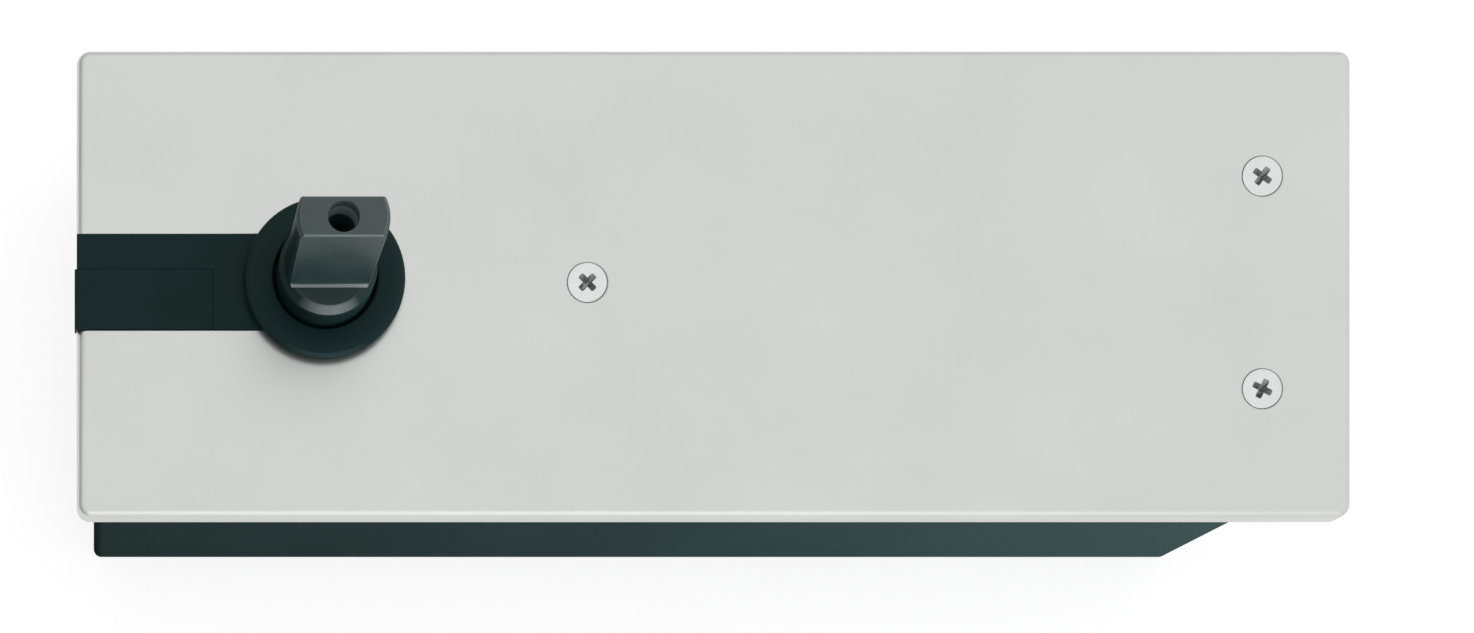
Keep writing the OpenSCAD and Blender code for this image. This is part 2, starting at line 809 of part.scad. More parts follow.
// The insert's round head, standing on the cover
module rosette() {
  cylinder(h = rosette_h - rosette_round, d = rosette_d);
  cylinder(h = rosette_h, d = rosette_d - 2 * rosette_round);
  translate([0, 0, rosette_h - rosette_round]) intersection() {
    rotate_extrude() translate([rosette_d / 2 - rosette_round, 0]) circle(rosette_round);
    cylinder(h = rosette_round + over, d = rosette_d + over);
  }
}

module slot_insert() {
  color([0.09, 0.15, 0.15]) difference() {
    union() {
      translate([left, -slot_half + slot_gap, cover_under])
        cube([spindle_inset, slot_w - 2 * slot_gap, plate_t + insert_proud]);
      translate([box_left + box_t + lip_in, -slot_half - lip_w, cover_under - lip_t - lip_gap])
        cube([spindle_inset - box_inset - box_t - neck_r, slot_w + 2 * lip_w, lip_t]);
      translate([box_left + box_t + lip_in, -slot_half + slot_gap, cover_under - lip_t - lip_gap])
        cube([spindle_inset - box_inset - box_t - neck_r, slot_w - 2 * slot_gap, lip_t + over]);
      translate([spindle_x, 0, cover_under]) cylinder(h = plate_t + hair, r = neck_r - slot_gap);
      translate([spindle_x, 0, cover_top]) rosette();
    }
    translate([spindle_x, 0, cover_under - over - lip_t]) cylinder(h = cover_top, r = hole_r);
    translate([left - over, -slot_half, cover_top + insert_proud - tab_t])
      cube([tab_l + over, slot_half + tab_y, tab_t + over]);
  }
}

module end_tab() {
  color([0.09, 0.15, 0.15]) translate([left - tab_proud, -slot_half + slot_gap, 0]) {
    translate([0, 0, cover_top + insert_proud - tab_t])
      cube([tab_l + tab_proud - slot_gap, slot_half + tab_y - 2 * slot_gap, tab_t]);
    translate([0, 0, cover_top - rim_h]) cube([tab_proud, slot_half + tab_y - 2 * slot_gap, rim_h]);
  }
}

module cover_screws() {
  color("gainsboro") each_cover_screw() difference() {
    union() {
      translate([0, 0, -screw_cone - screw_sunk])
        cylinder(h = screw_cone, d1 = screw_d - screw_play, d2 = screw_head_d);
      translate([0, 0, -screw_l]) cylinder(h = screw_l - screw_cone, d = screw_d - screw_play);
    }
    for (a = [45, 135]) rotate([0, 0, a]) translate([-recess_l / 2, -recess_w / 2, -recess_depth])
      cube([recess_l, recess_w, recess_depth + over]);
  }
}

floor_box();
cover_lugs();
floor_nuts();
closer_body();
body_lid();
lid_gasket();
lid_screws();
spindle();
heart_cam();
cam_key();
bearing_outer_ring();
bearing_inner_ring();
bearing_balls();
lower_bush();
thrust_washer();
shaft_seal();
roller();
roller_pin();
roller_carriage();
carriage_screws();
piston();
piston_ring();
check_ball();
check_seat();
closing_spring();
spring_seat();
end_plug();
end_plug_seal();
closing_valve();
latching_valve();
valve_seals();
channel_plug();
filler_plug();
filler_washer();
levelling_screws();
clamp_bolts();
clamp_washers();
cover_plate();
slot_insert();
end_tab();
cover_screws();
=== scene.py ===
"""Dresses a floor spring door closer: a steel cover with a black insert, an upright
spindle, a coated floor box and the hydraulic closer inside it.

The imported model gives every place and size. The classes below build the pieces that
need a finer form than their solids, and give every other solid its finish.
"""

from __future__ import annotations

import json
import logging
import math
from dataclasses import dataclass, field
from enum import Enum
from typing import Callable, Sequence

import bmesh
import bpy
from mathutils import Matrix, Vector


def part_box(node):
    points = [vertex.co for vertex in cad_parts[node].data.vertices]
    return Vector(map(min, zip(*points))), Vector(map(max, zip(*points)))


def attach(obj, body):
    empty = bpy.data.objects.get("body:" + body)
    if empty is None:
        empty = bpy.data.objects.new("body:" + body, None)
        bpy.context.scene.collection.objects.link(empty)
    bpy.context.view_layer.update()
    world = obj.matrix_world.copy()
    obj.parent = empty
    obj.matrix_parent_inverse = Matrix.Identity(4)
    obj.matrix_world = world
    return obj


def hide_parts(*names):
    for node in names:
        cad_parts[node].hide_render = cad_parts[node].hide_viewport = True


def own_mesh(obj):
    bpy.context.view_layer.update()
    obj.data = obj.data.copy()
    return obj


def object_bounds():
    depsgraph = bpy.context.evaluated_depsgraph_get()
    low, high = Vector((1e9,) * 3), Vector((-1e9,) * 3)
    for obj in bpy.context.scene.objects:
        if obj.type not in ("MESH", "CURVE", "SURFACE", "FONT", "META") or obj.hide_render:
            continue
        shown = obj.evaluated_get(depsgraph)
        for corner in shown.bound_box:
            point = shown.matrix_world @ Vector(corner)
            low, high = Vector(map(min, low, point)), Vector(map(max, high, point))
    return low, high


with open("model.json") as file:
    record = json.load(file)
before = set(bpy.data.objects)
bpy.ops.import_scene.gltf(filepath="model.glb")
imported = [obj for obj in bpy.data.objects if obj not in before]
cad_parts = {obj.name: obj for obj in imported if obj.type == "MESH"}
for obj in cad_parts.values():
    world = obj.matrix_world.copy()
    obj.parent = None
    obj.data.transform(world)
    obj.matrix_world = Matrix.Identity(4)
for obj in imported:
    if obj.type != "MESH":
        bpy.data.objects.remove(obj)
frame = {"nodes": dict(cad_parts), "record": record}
CAD_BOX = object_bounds()

MM = 0.001
HOUSING = "housing"
# Face attribute of the faces whose colour is lightened: rounded edges, as wear and as painted highlight,
# and the painted highlights on the spindle and on the rosette's rim.
WEAR_AND_HIGHLIGHT = "wear and painted highlight"
HEAD_RADIUS = 4.8 * MM
# A face is level when its normal runs this closely along an axis, and large from this area
# in square metres.
LEVEL = 0.99995
LARGE_FACE = 8e-6
# The radius that ends a turned profile near its axis, and how far cutters reach past a cut.
NEAR_AXIS = 0.02 * MM
OVERLAP = 1 * MM
# The places of the Mix node's colour sockets.
MIX_FIRST, MIX_SECOND, MIX_RESULT = 6, 7, 2
LOG = logging.getLogger("door_closer")

Pair = tuple[float, float]
Colour = tuple[float, float, float]
Ring = list[Vector]
Piece = bpy.types.Object
Collection = bpy.types.Collection
Node = bpy.types.Node
Socket = bpy.types.NodeSocket
Sockets = bpy.types.bpy_prop_collection


def joint_place(name: str) -> Vector:
    """Gives a point on the axis of a joint of the record, in metres."""
    joints = {joint["name"]: joint for joint in frame["record"]["behaviour"]["joints"]}
    return Vector(joints[name]["pos_m"])


def low_corner(node: str) -> Vector:
    """Makes a dataclass field that holds the lowest corner of a node's box."""
    return field(default_factory=lambda: Vector(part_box(node)[0]))


def high_corner(node: str) -> Vector:
    """Makes a dataclass field that holds the highest corner of a node's box."""
    return field(default_factory=lambda: Vector(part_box(node)[1]))


def on_axis(joint: str) -> Vector:
    """Makes a dataclass field that holds a point on a joint's axis."""
    return field(default_factory=lambda: joint_place(joint))


def screw_places() -> list[Vector]:
    """Gives the tops of the cover screws' heads.

    Returns:
        The middle screw first, then the two at the end.
    """
    low, high = (Vector(corner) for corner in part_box("cover_screws"))
    right, side = high.x - HEAD_RADIUS, high.y - HEAD_RADIUS
    spots = [(low.x + HEAD_RADIUS, 0), (right, side), (right, -side)]
    return [Vector((x, y, high.z)) for x, y in spots]


SCREW_PLACES = screw_places()


def near_screw(place: Vector, reach: float) -> bool:
    """Tells whether a place lies within reach of a cover screw's axis."""
    return any((place - centre).to_2d().length < reach for centre in SCREW_PLACES)


def set_out(name: str, data: object) -> Piece:
    """Makes an object and links it to the scene.

    Args:
        name: The object's name.
        data: Its mesh, lamp or camera; an empty has none.

    Returns:
        The object.
    """
    made = bpy.data.objects.new(name, data)
    bpy.context.scene.collection.objects.link(made)
    return made


# ---------------------------------------------------------------- mesh helpers


@dataclass
class Shell:
    """Vertices and faces of one closed piece, gathered ring by ring."""

    points: list[Vector] = field(default_factory=list)
    faces: list[list[int]] = field(default_factory=list)

    def ring(self, points: Sequence[Vector]) -> list[int]:
        """Adds a ring of vertices.

        Args:
            points: The ring's vertices in order.

        Returns:
            The indices of the new vertices.
        """
        start = len(self.points)
        self.points.extend(points)
        return list(range(start, len(self.points)))

    def bridge(self, low: list[int], high: list[int]) -> None:
        """Joins two rings of equal length with four-sided faces.

        Args:
            low: Indices of the first ring.
            high: Indices of the second ring.
        """
        count = len(low)
        for i in range(count):
            j = (i + 1) % count
            self.faces.append([low[i], low[j], high[j], high[i]])

    def loft(self, rings: Sequence[Ring], around: bool = False) -> None:
        """Skins a row of rings, and closes both ends or joins the last to the first.

        Args:
            rings: The rings, all of the same length.
            around: Whether the row closes on itself, as a tube bent into a hoop does.
        """
        made = [self.ring(points) for points in rings]
        for low, high in zip(made, made[1:]):
            self.bridge(low, high)
        if around:
            self.bridge(made[-1], made[0])
        else:
            self.faces.append(made[0][::-1])
            self.faces.append(made[-1])

    def build(self, name: str) -> Piece:
        """Makes the piece.

        Args:
            name: The object's name.

        Returns:
            The new object, with its faces pointing out.
        """
        mesh = bpy.data.meshes.new(name)
        mesh.from_pydata([tuple(p) for p in self.points], [], self.faces)
        work = bmesh.new()
        work.from_mesh(mesh)
        bmesh.ops.remove_doubles(work, verts=work.verts, dist=1e-7)
        bmesh.ops.recalc_face_normals(work, faces=work.faces)
        work.to_mesh(mesh)
        work.free()
        return set_out(name, mesh)


def skin(name: str, rings: Sequence[Ring], around: bool = False) -> Piece:
    """Makes a piece by skinning a row of rings.

    Args:
        name: The object's name.
        rings: The rings, all of the same length.
        around: Whether the row closes on itself.

    Returns:
        The piece.
    """
    shell = Shell()
    shell.loft(rings, around)
    return shell.build(name)


def arc(radius: float, start: float, end: float, steps: int) -> list[Pair]:
    """Gives the points of an arc about the origin, from start to end in degrees, in steps chords."""
    turns = [math.radians(start + (end - start) * i / steps) for i in range(steps + 1)]
    return [(radius * math.cos(t), radius * math.sin(t)) for t in turns]


def outline(low: Vector, high: Vector, corners: Sequence[float], z: float, steps: int = 10) -> Ring:
    """Draws a rectangle with round corners.

    Args:
        low: Its lowest corner.
        high: Its highest corner.
        corners: Radii at the corners, from (high x, high y) anticlockwise.
        z: Height of the outline.
        steps: Chords in each corner.

    Returns:
        The outline's points, anticlockwise.
    """
    places = [
        (high.x, high.y, -1, -1), (low.x, high.y, 1, -1), (low.x, low.y, 1, 1), (high.x, low.y, -1, 1)]
    ring: Ring = []
    for quarter, (x, y, sx, sy) in enumerate(places):
        radius = max(corners[quarter], 1e-5)
        for dx, dy in arc(radius, 90 * quarter, 90 * quarter + 90, steps):
            ring.append(Vector((x + sx * radius + dx, y + sy * radius + dy, z)))
    return ring


def circle(centre: Vector, radius: float, z: float, steps: int) -> Ring:
    """Draws a circle about a vertical axis.

    Args:
        centre: A point on the axis.
        radius: The circle's radius.
        z: Its height.
        steps: How many sides it has.

    Returns:
        The circle's points, anticlockwise.
    """
    turn = 2 * math.pi / steps
    return [
        Vector((centre.x + radius * math.cos(turn * i), centre.y + radius * math.sin(turn * i), z))
        for i in range(steps)
    ]


def lathe(
    name: str, centre: Vector, profile: Sequence[Pair], steps: int = 96, around: bool = False
) -> Piece:
    """Turns (radius, height) pairs, a closed loop if around, about a vertical axis through centre."""
    return skin(name, [circle(centre, radius, z, steps) for radius, z in profile], around)


def block(name: str, low: Vector, high: Vector) -> Piece:
    """Makes a plain block, used only to cut other pieces, between two corners."""
    return skin(name, [outline(low, high, [0] * 4, z, 1) for z in (low.z, high.z)])


def settle(piece: Piece) -> Piece:
    """Turns a piece's modifiers into plain mesh.

    Args:
        piece: The piece.

    Returns:
        The same piece, without modifiers.
    """
    graph = bpy.context.evaluated_depsgraph_get()
    mesh = bpy.data.meshes.new_from_object(piece.evaluated_get(graph), depsgraph=graph)
    piece.modifiers.clear()
    piece.data = mesh
    return piece


def combine(piece: Piece, others: Sequence[Piece], how: str) -> Piece:
    """Adds pieces to another or cuts them out of it.

    Args:
        piece: The piece to change.
        others: The pieces to add or to cut with, which are used up.
        how: "UNION" or "DIFFERENCE".

    Returns:
        The changed piece.
    """
    for other in others:
        modifier = piece.modifiers.new(how.lower(), "BOOLEAN")
        modifier.operation = how
        modifier.solver = "EXACT"
        modifier.object = other
        settle(piece)
        bpy.data.objects.remove(other)
    return piece


def soften(piece: Piece, width: float, segments: int = 2, angle: float = 35) -> Piece:
    """Rounds a piece's sharp edges and shades it.

    Args:
        piece: The piece.
        width: Width of the rounding, in metres.
        segments: How many faces go round an edge.
        angle: Edges sharper than this, in degrees, are rounded.

    Returns:
        The same piece.
    """
    piece.data.materials.clear()
    for _ in range(2):
        piece.data.materials.append(None)
    modifier = piece.modifiers.new("edges", "BEVEL")
    modifier.material = 1
    modifier.width = width
    modifier.segments = segments
    modifier.limit_method = "ANGLE"
    modifier.angle_limit = math.radians(angle)
    modifier.use_clamp_overlap = True
    modifier.miter_outer = "MITER_ARC"
    settle(piece)
    # The rounded faces are marked in the attribute, so that a finish with edge_light lightens them, as
    # wear and as painted highlight.
    wear_highlight = piece.data.attributes.get(WEAR_AND_HIGHLIGHT) or piece.data.attributes.new(WEAR_AND_HIGHLIGHT, "FLOAT", "FACE")
    for face, mark in zip(piece.data.polygons, wear_highlight.data):
        mark.value = max(mark.value, float(face.material_index == 1))
        face.material_index = 0
    return smooth(piece)


def smooth(piece: Piece, angle: float = 40) -> Piece:
    """Shades a piece smooth, apart from its flats and its sharp edges.

    Args:
        piece: The piece.
        angle: Edges sharper than this, in degrees, stay sharp.

    Returns:
        The same piece.
    """
    piece.data.shade_smooth()
    piece.data.set_sharp_from_angle(angle=math.radians(angle))
    for face in piece.data.polygons:
        level = max(abs(c) for c in face.normal) > LEVEL
        face.use_smooth = face.area < LARGE_FACE or not (level or len(face.vertices) > 4)
    return piece


# ------------------------------------------------------------- node helpers


@dataclass
class Graph:
    """A node tree with short ways to add and join its nodes."""

    tree: bpy.types.NodeTree

    def add(self, kind: str, *inputs: object, **settings: object) -> Node:
        """Adds a node.

        Args:
            kind: The node's type.
            *inputs: What goes into its first sockets, each a value or a socket to join.
            **settings: Its properties; a name that is a socket's says what goes into it.

        Returns:
            The node.
        """
        node = self.tree.nodes.new(kind)
        for place, value in enumerate(inputs):
            self.join(value, node.inputs[place])
        for name, value in settings.items():
            if hasattr(node, name):
                setattr(node, name, value)
            else:
                self.join(value, node.inputs[name.replace("_", " ")])
        return node

    def join(self, value: object, into: Socket) -> None:
        """Joins a socket to another, or sets a value in it.

        Args:
            value: The socket to join, or the value.
            into: The socket that takes it.
        """
        if isinstance(value, Socket):
            self.tree.links.new(value, into)
        else:
            into.default_value = value

    def calc(self, kind: str, left: object, right: object) -> Socket:
        """Adds a Math node on two sockets or numbers, and gives its result's socket."""
        return self.add("ShaderNodeMath", left, right, operation=kind).outputs[0]

    def mix_colours(self, share: object, dark: object, light: object) -> Socket:
        """Adds a colour Mix node.

        Args:
            share: How much of the second colour goes in.
            dark: The first colour's socket.
            light: The second colour's socket.

        Returns:
            The mixed colour's socket.
        """
        mix = self.add("ShaderNodeMix", share, data_type="RGBA")
        self.join(dark, mix.inputs[MIX_FIRST])
        self.join(light, mix.inputs[MIX_SECOND])
        return mix.outputs[MIX_RESULT]

    def mix_shaders(self, share: object, first: Node, second: Node) -> Node:
        """Adds a Mix Shader node between two shaders."""
        return self.add("ShaderNodeMixShader", share, first.outputs[0], second.outputs[0])


def make_group(
    name: str, inputs: dict[str, tuple[str, object]], outputs: dict[str, str]
) -> tuple[Graph, Sockets, Sockets]:
    """Starts a shader node group.

    Args:
        name: The group's name.
        inputs: Name to (socket type, default value).
        outputs: Name to socket type.

    Returns:
        The group's tree, what comes into it and what it puts out.
    """
    tree = bpy.data.node_groups.new(name, "ShaderNodeTree")
    for title, (kind, value) in inputs.items():
        socket = tree.interface.new_socket(name=title, in_out="INPUT", socket_type=kind)
        if value is not None:
            socket.default_value = value
    for title, kind in outputs.items():
        tree.interface.new_socket(name=title, in_out="OUTPUT", socket_type=kind)
    start, end = tree.nodes.new("NodeGroupInput"), tree.nodes.new("NodeGroupOutput")
    return Graph(tree), start.outputs, end.inputs


FLOAT = "NodeSocketFloat"
VECTOR = "NodeSocketVector"
COLOUR = "NodeSocketColor"


def build_tone_group() -> bpy.types.NodeTree:
    """Builds the group that clouds a colour, as handling and rolling leave it.

    Returns:
        The group. It puts out a colour and the cloud itself.
    """
    graph, given, result = make_group(
        "cloudy tone",
        {"Vector": (VECTOR, None), "Scale": (FLOAT, 20.0), "Light": (COLOUR, (1, 1, 1, 1)),
         "Dark": (COLOUR, (0, 0, 0, 1)), "Contrast": (FLOAT, 1.0)},
        {"Colour": COLOUR, "Cloud": FLOAT},
    )
    noise = graph.add(
        "ShaderNodeTexNoise", given["Vector"], Scale=given["Scale"], Detail=5.0, Roughness=0.6)
    spread = graph.calc("SUBTRACT", noise.outputs["Fac"], 0.5)
    spread = graph.calc("MULTIPLY", spread, given["Contrast"])
    level = graph.add("ShaderNodeClamp", graph.calc("ADD", spread, 0.5)).outputs[0]
    graph.join(graph.mix_colours(level, given["Dark"], given["Light"]), result["Colour"])
    graph.join(level, result["Cloud"])
    return graph.tree


def build_lines_group() -> bpy.types.NodeTree:
    """Builds the group of fine parallel lines that grinding and brushing leave.

    Returns:
        The group. It puts out the height of the lines.
    """
    graph, given, result = make_group(
        "brushed lines",
        {"Vector": (VECTOR, None), "Along": (VECTOR, (1, 1, 1)), "Fineness": (FLOAT, 600.0)},
        {"Height": FLOAT},
    )
    stretch = graph.add("ShaderNodeVectorMath", given["Vector"], given["Along"], operation="MULTIPLY")
    noise = graph.add(
        "ShaderNodeTexNoise", stretch.outputs[0], Scale=given["Fineness"], Detail=3.0, Roughness=0.7)
    graph.join(noise.outputs["Fac"], result["Height"])
    return graph.tree


def build_pits_group() -> bpy.types.NodeTree:
    """Builds the group of small pits and bumps of castings, coatings and mouldings.

    Returns:
        The group. It puts out the height of the pits.
    """
    graph, given, result = make_group(
        "fine pits",
        {"Vector": (VECTOR, None), "Size": (FLOAT, 800.0), "Coarse": (FLOAT, 0.3)},
        {"Height": FLOAT},
    )
    fine = graph.add(
        "ShaderNodeTexNoise", given["Vector"], Scale=given["Size"], Detail=2.0, Roughness=0.5)
    wide = graph.calc("MULTIPLY", given["Size"], 0.35)
    cells = graph.add("ShaderNodeTexVoronoi", given["Vector"], Scale=wide)
    coarse = graph.calc("MULTIPLY", cells.outputs["Distance"], given["Coarse"])
    graph.join(graph.calc("ADD", fine.outputs["Fac"], coarse), result["Height"])
    return graph.tree


def build_wear_and_highlight_group() -> bpy.types.NodeTree:
    """Builds the group that lightens a colour where a mask marks wear and painted highlights.

    Returns:
        The group. It puts out the mixed colour.
    """
    graph, given, result = make_group(
        "wear and highlight lightening",
        {"Colour": (COLOUR, (0, 0, 0, 1)), "Worn Colour": (COLOUR, (1, 1, 1, 1)), "Mask": (FLOAT, 0.0),
         "Strength": (FLOAT, 0.5)},
        {"Colour": COLOUR},
    )
    share = graph.calc("MULTIPLY", given["Mask"], given["Strength"])
    graph.join(graph.mix_colours(share, given["Colour"], given["Worn Colour"]), result["Colour"])
    return graph.tree


GROUPS: dict[str, Callable[[], bpy.types.NodeTree]] = {
    "cloudy tone": build_tone_group,
    "wear and highlight lightening": build_wear_and_highlight_group,
    "brushed lines": build_lines_group,
    "fine pits": build_pits_group,
}


def group(name: str) -> bpy.types.NodeTree:
    """Gives a shared shader group, built the first time that it is asked for."""
    return bpy.data.node_groups.get(name) or GROUPS[name]()


# ------------------------------------------------------------------- finishes


class Grain(Enum):
    """What a surface's fine relief looks like."""

    LINES_X = (0.02, 1.0, 1.0)
    TURNED = (0.08, 0.08, 1.0)
    PITS = None


@dataclass(frozen=True)
class Finish:
    """One finish: its colour, how it shines, and the relief and clouds on it."""

    name: str
    colour: Colour
    roughness: float
    metallic: float = 0.0
    grain: Grain = Grain.PITS
    grain_size: float = 900.0
    grain_depth: float = 0.02 * MM
    grain_share: float = 0.5
    cloud_size: float = 25.0
    cloud_share: float = 0.12
    cloud_tint: Colour = (1.0, 1.0, 1.0)
    cloud_contrast: float = 2.0
    gloss_spread: float = 0.08
    least_gloss: float = 0.02
    specular: float = 0.5
    # edge_light and edge_gain lighten the marked faces: wear on rounded edges, and painted highlights.
    edge_light: float = 0.0
    edge_gain: float = 0.1

    def material(self) -> bpy.types.Material:
        """Gives the finish's material, built the first time that it is asked for.

        Returns:
            The material.
        """
        made = bpy.data.materials.get(self.name)
        if made:
            return made
        made = bpy.data.materials.new(self.name)
        made.use_nodes = True
        graph = Graph(made.node_tree)
        shader = made.node_tree.nodes["Principled BSDF"]
        place = graph.add("ShaderNodeTexCoord").outputs["Object"]
        colour, cloud = self._tone(graph, place)
        low = max(self.roughness - self.gloss_spread, self.least_gloss)
        gloss = graph.add(
            "ShaderNodeMapRange", cloud, To_Min=low, To_Max=self.roughness + self.gloss_spread)
        bump = graph.add("ShaderNodeBump", Strength=self.grain_share, Distance=self.grain_depth,
                         Height=self._relief(graph, place))
        for title, value in {
            "Base Color": colour, "Metallic": self.metallic, "Roughness": gloss.outputs[0],
            "Normal": bump.outputs[0], "Specular IOR Level": self.specular,
        }.items():
            graph.join(value, shader.inputs[title])
        return made

    def _tone(self, graph: Graph, place: Socket) -> tuple[Socket, Socket]:
        """Clouds the colour and lightens marked faces, as wear and as painted highlight.

        Args:
            graph: The material's tree.
            place: Object coordinates.

        Returns:
            The colour, and the cloud, which also drives the gloss.
        """
        dark = [c * (1 - self.cloud_share) * t for c, t in zip(self.colour, self.cloud_tint)]
        light = [min(c * (1 + self.cloud_share), 1.0) for c in self.colour]
        tone = graph.add(
            "ShaderNodeGroup", node_tree=group("cloudy tone"), Vector=place, Scale=self.cloud_size,
            Dark=(*dark, 1), Light=(*light, 1), Contrast=self.cloud_contrast)
        colour, cloud = tone.outputs["Colour"], tone.outputs["Cloud"]
        # The mask lightens rounded edges, as wear and painted highlight, and paints the highlights
        # marked on the spindle and the rosette's rim.
        if self.edge_light:
            lightened = [min(2 * c + self.edge_gain, 1) for c in self.colour]
            mark = graph.add("ShaderNodeAttribute", attribute_name=WEAR_AND_HIGHLIGHT)
            wear_highlight = graph.add(
                "ShaderNodeGroup", node_tree=group("wear and highlight lightening"), Colour=colour,
                Worn_Colour=(*lightened, 1), Mask=mark.outputs["Fac"], Strength=self.edge_light)
            colour = wear_highlight.outputs["Colour"]
        return colour, cloud

    def _relief(self, graph: Graph, place: Socket) -> Socket:
        """Adds the finish's grain.

        Args:
            graph: The material's tree.
            place: Object coordinates.

        Returns:
            The height of the relief.
        """
        if self.grain is Grain.PITS:
            relief = graph.add(
                "ShaderNodeGroup", node_tree=group("fine pits"), Vector=place, Size=self.grain_size)
        else:
            relief = graph.add(
                "ShaderNodeGroup", node_tree=group("brushed lines"), Vector=place,
                Along=self.grain.value, Fineness=self.grain_size)
        return relief.outputs["Height"]


COVER_STEEL = Finish(
    "cover steel", (0.64, 0.656, 0.642), roughness=0.36, metallic=1.0, grain=Grain.LINES_X,
    grain_size=1500, grain_depth=0.01 * MM, grain_share=0.25, cloud_size=22, cloud_share=0.045,
    cloud_tint=(1.0, 0.99, 0.985), gloss_spread=0.05)
BOX_COAT = Finish(
    "box coat", (0.021, 0.037, 0.037), roughness=0.55, grain_size=700, grain_share=0.3, cloud_size=18,
    cloud_share=0.1, specular=0.0, edge_light=0.25)
# The rosette's rim carries a painted highlight through edge_light.
INSERT_PLASTIC = Finish(
    "insert plastic", (0.0045, 0.0195, 0.019), roughness=0.42, grain_size=1800, grain_share=0.35,
    cloud_size=40, specular=0.1, edge_light=0.5, edge_gain=0.02)
# Its edge_light paints the highlights on the collar's chamfer, in the tapped hole and along the tongue's
# edges.
SPINDLE_STEEL = Finish(
    "blackened steel", (0.012, 0.033, 0.033), roughness=0.33, grain_size=1500, grain_share=0.35,
    cloud_size=90, cloud_share=0.16, specular=0.8, edge_light=0.9, edge_gain=0.17)
# A darker copy of the blackened steel: painted shade on the collar's side and the tongue's round sides.
SHADED_STEEL = Finish(
    "blackened steel in painted shade", (0.008, 0.022, 0.0215), roughness=0.4, grain_size=1500, grain_share=0.35,
    cloud_size=90, cloud_share=0.14, specular=0.15, edge_light=0.9, edge_gain=0.14)
# Darker steel that paints the shade in the cover's countersinks and in the screws' cross recesses.
RECESS_SHADE_STEEL = Finish(
    "steel in painted recess shade", (0.33, 0.345, 0.34), roughness=0.5, metallic=1.0, grain=Grain.TURNED, grain_size=1200,
    grain_share=0.4, cloud_size=150, cloud_share=0.1)
SCREW_ZINC = Finish(
    "bright zinc", (0.72, 0.73, 0.73), roughness=0.28, metallic=1.0, grain=Grain.TURNED, grain_size=1200,
    grain_depth=0.01 * MM, grain_share=0.3, cloud_size=200, cloud_share=0.06, edge_light=0.15)
CAST_IRON = Finish(
    "painted casting", (0.085, 0.095, 0.1), roughness=0.62, grain_size=500, grain_depth=0.12 * MM,
    grain_share=0.8, cloud_size=30, cloud_share=0.18)
LID_IRON = Finish(
    "machined iron", (0.2, 0.21, 0.215), roughness=0.45, metallic=0.7, grain=Grain.TURNED,
    grain_depth=0.03 * MM, cloud_size=40)
GROUND_STEEL = Finish(
    "ground steel", (0.42, 0.43, 0.44), roughness=0.26, metallic=1.0, grain=Grain.TURNED,
    grain_size=1500, grain_depth=0.01 * MM, grain_share=0.4, cloud_size=80, cloud_share=0.08)
POLISHED_STEEL = Finish(
    "polished bearing steel", (0.68, 0.69, 0.7), roughness=0.12, metallic=1.0, grain=Grain.TURNED,
    grain_size=2500, grain_depth=0.004 * MM, grain_share=0.3, cloud_size=120, cloud_share=0.03,
    gloss_spread=0.04)
BRONZE = Finish(
    "bearing bronze", (0.52, 0.34, 0.15), roughness=0.33, metallic=1.0, grain=Grain.TURNED,
    grain_size=1400, grain_depth=0.01 * MM, grain_share=0.4, cloud_size=90, cloud_tint=(0.95, 0.85, 0.7))
SPRING_WIRE = Finish(
    "oil-tempered wire", (0.1, 0.105, 0.12), roughness=0.35, metallic=0.85, grain_size=1200,
    grain_share=0.4, cloud_size=60, cloud_share=0.2)
BLACK_OXIDE = Finish(
    "black oxide", (0.035, 0.035, 0.04), roughness=0.42, metallic=0.6, grain_size=1500,
    grain_depth=0.01 * MM, grain_share=0.4, cloud_size=120, cloud_share=0.2)
SEAL_RUBBER = Finish(
    "seal rubber", (0.015, 0.015, 0.016), roughness=0.55, grain_size=1200, grain_share=0.4,
    cloud_size=100, cloud_share=0.15, specular=0.4)
GASKET_FIBRE = Finish(
    "gasket fibre", (0.05, 0.052, 0.05), roughness=0.8, grain_size=600, grain_depth=0.05 * MM,
    grain_share=0.7, cloud_size=150, cloud_share=0.25, specular=0.25)


def dress(piece: Piece, finish: Finish, body: str, nodes: Sequence[str] = ()) -> Piece:
    """Gives a built piece its finish and its place in the frame.

    Args:
        piece: The piece.
        finish: Its finish.
        body: The body that it rides on.
        nodes: The solids that it stands for.

    Returns:
        The same piece.
    """
    piece.data.materials.clear()
    piece.data.materials.append(finish.material())
    for face in piece.data.polygons:
        face.material_index = 0
    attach(piece, body)
    if nodes:
        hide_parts(*nodes)
    LOG.info("%s: %d faces, on %s", piece.name, len(piece.data.polygons), body)
    return piece


def paint_highlight(piece: Piece, share: Callable[[Vector, float], float], edges: bool = True) -> None:
    """Marks a piece's painted highlights, which its finish shows as a lighter colour.

    Args:
        piece: The piece.
        share: Gives the painted highlight, 0 to 1, from a face's place and its normal's rise.
        edges: Whether the rounded edges stay light.
    """
    wear_highlight = piece.data.attributes.get(WEAR_AND_HIGHLIGHT) or piece.data.attributes.new(WEAR_AND_HIGHLIGHT, "FLOAT", "FACE")
    for face, mark in zip(piece.data.polygons, wear_highlight.data):
        mark.value = max(mark.value if edges else 0.0, share(face.center, face.normal.z))


def mark_faces(piece: Piece, finish: Finish, chosen: Callable[[Vector, float], bool]) -> None:
    """Gives some of a piece's faces a second finish.

    Args:
        piece: The piece.
        finish: The second finish.
        chosen: Tells from a face's place and its normal's rise whether it takes the finish.
    """
    piece.data.materials.append(finish.material())
    for face in piece.data.polygons:
        if chosen(face.center, face.normal.z):
            face.material_index = len(piece.data.materials) - 1


# ------------------------------------------------------------ geometry trees


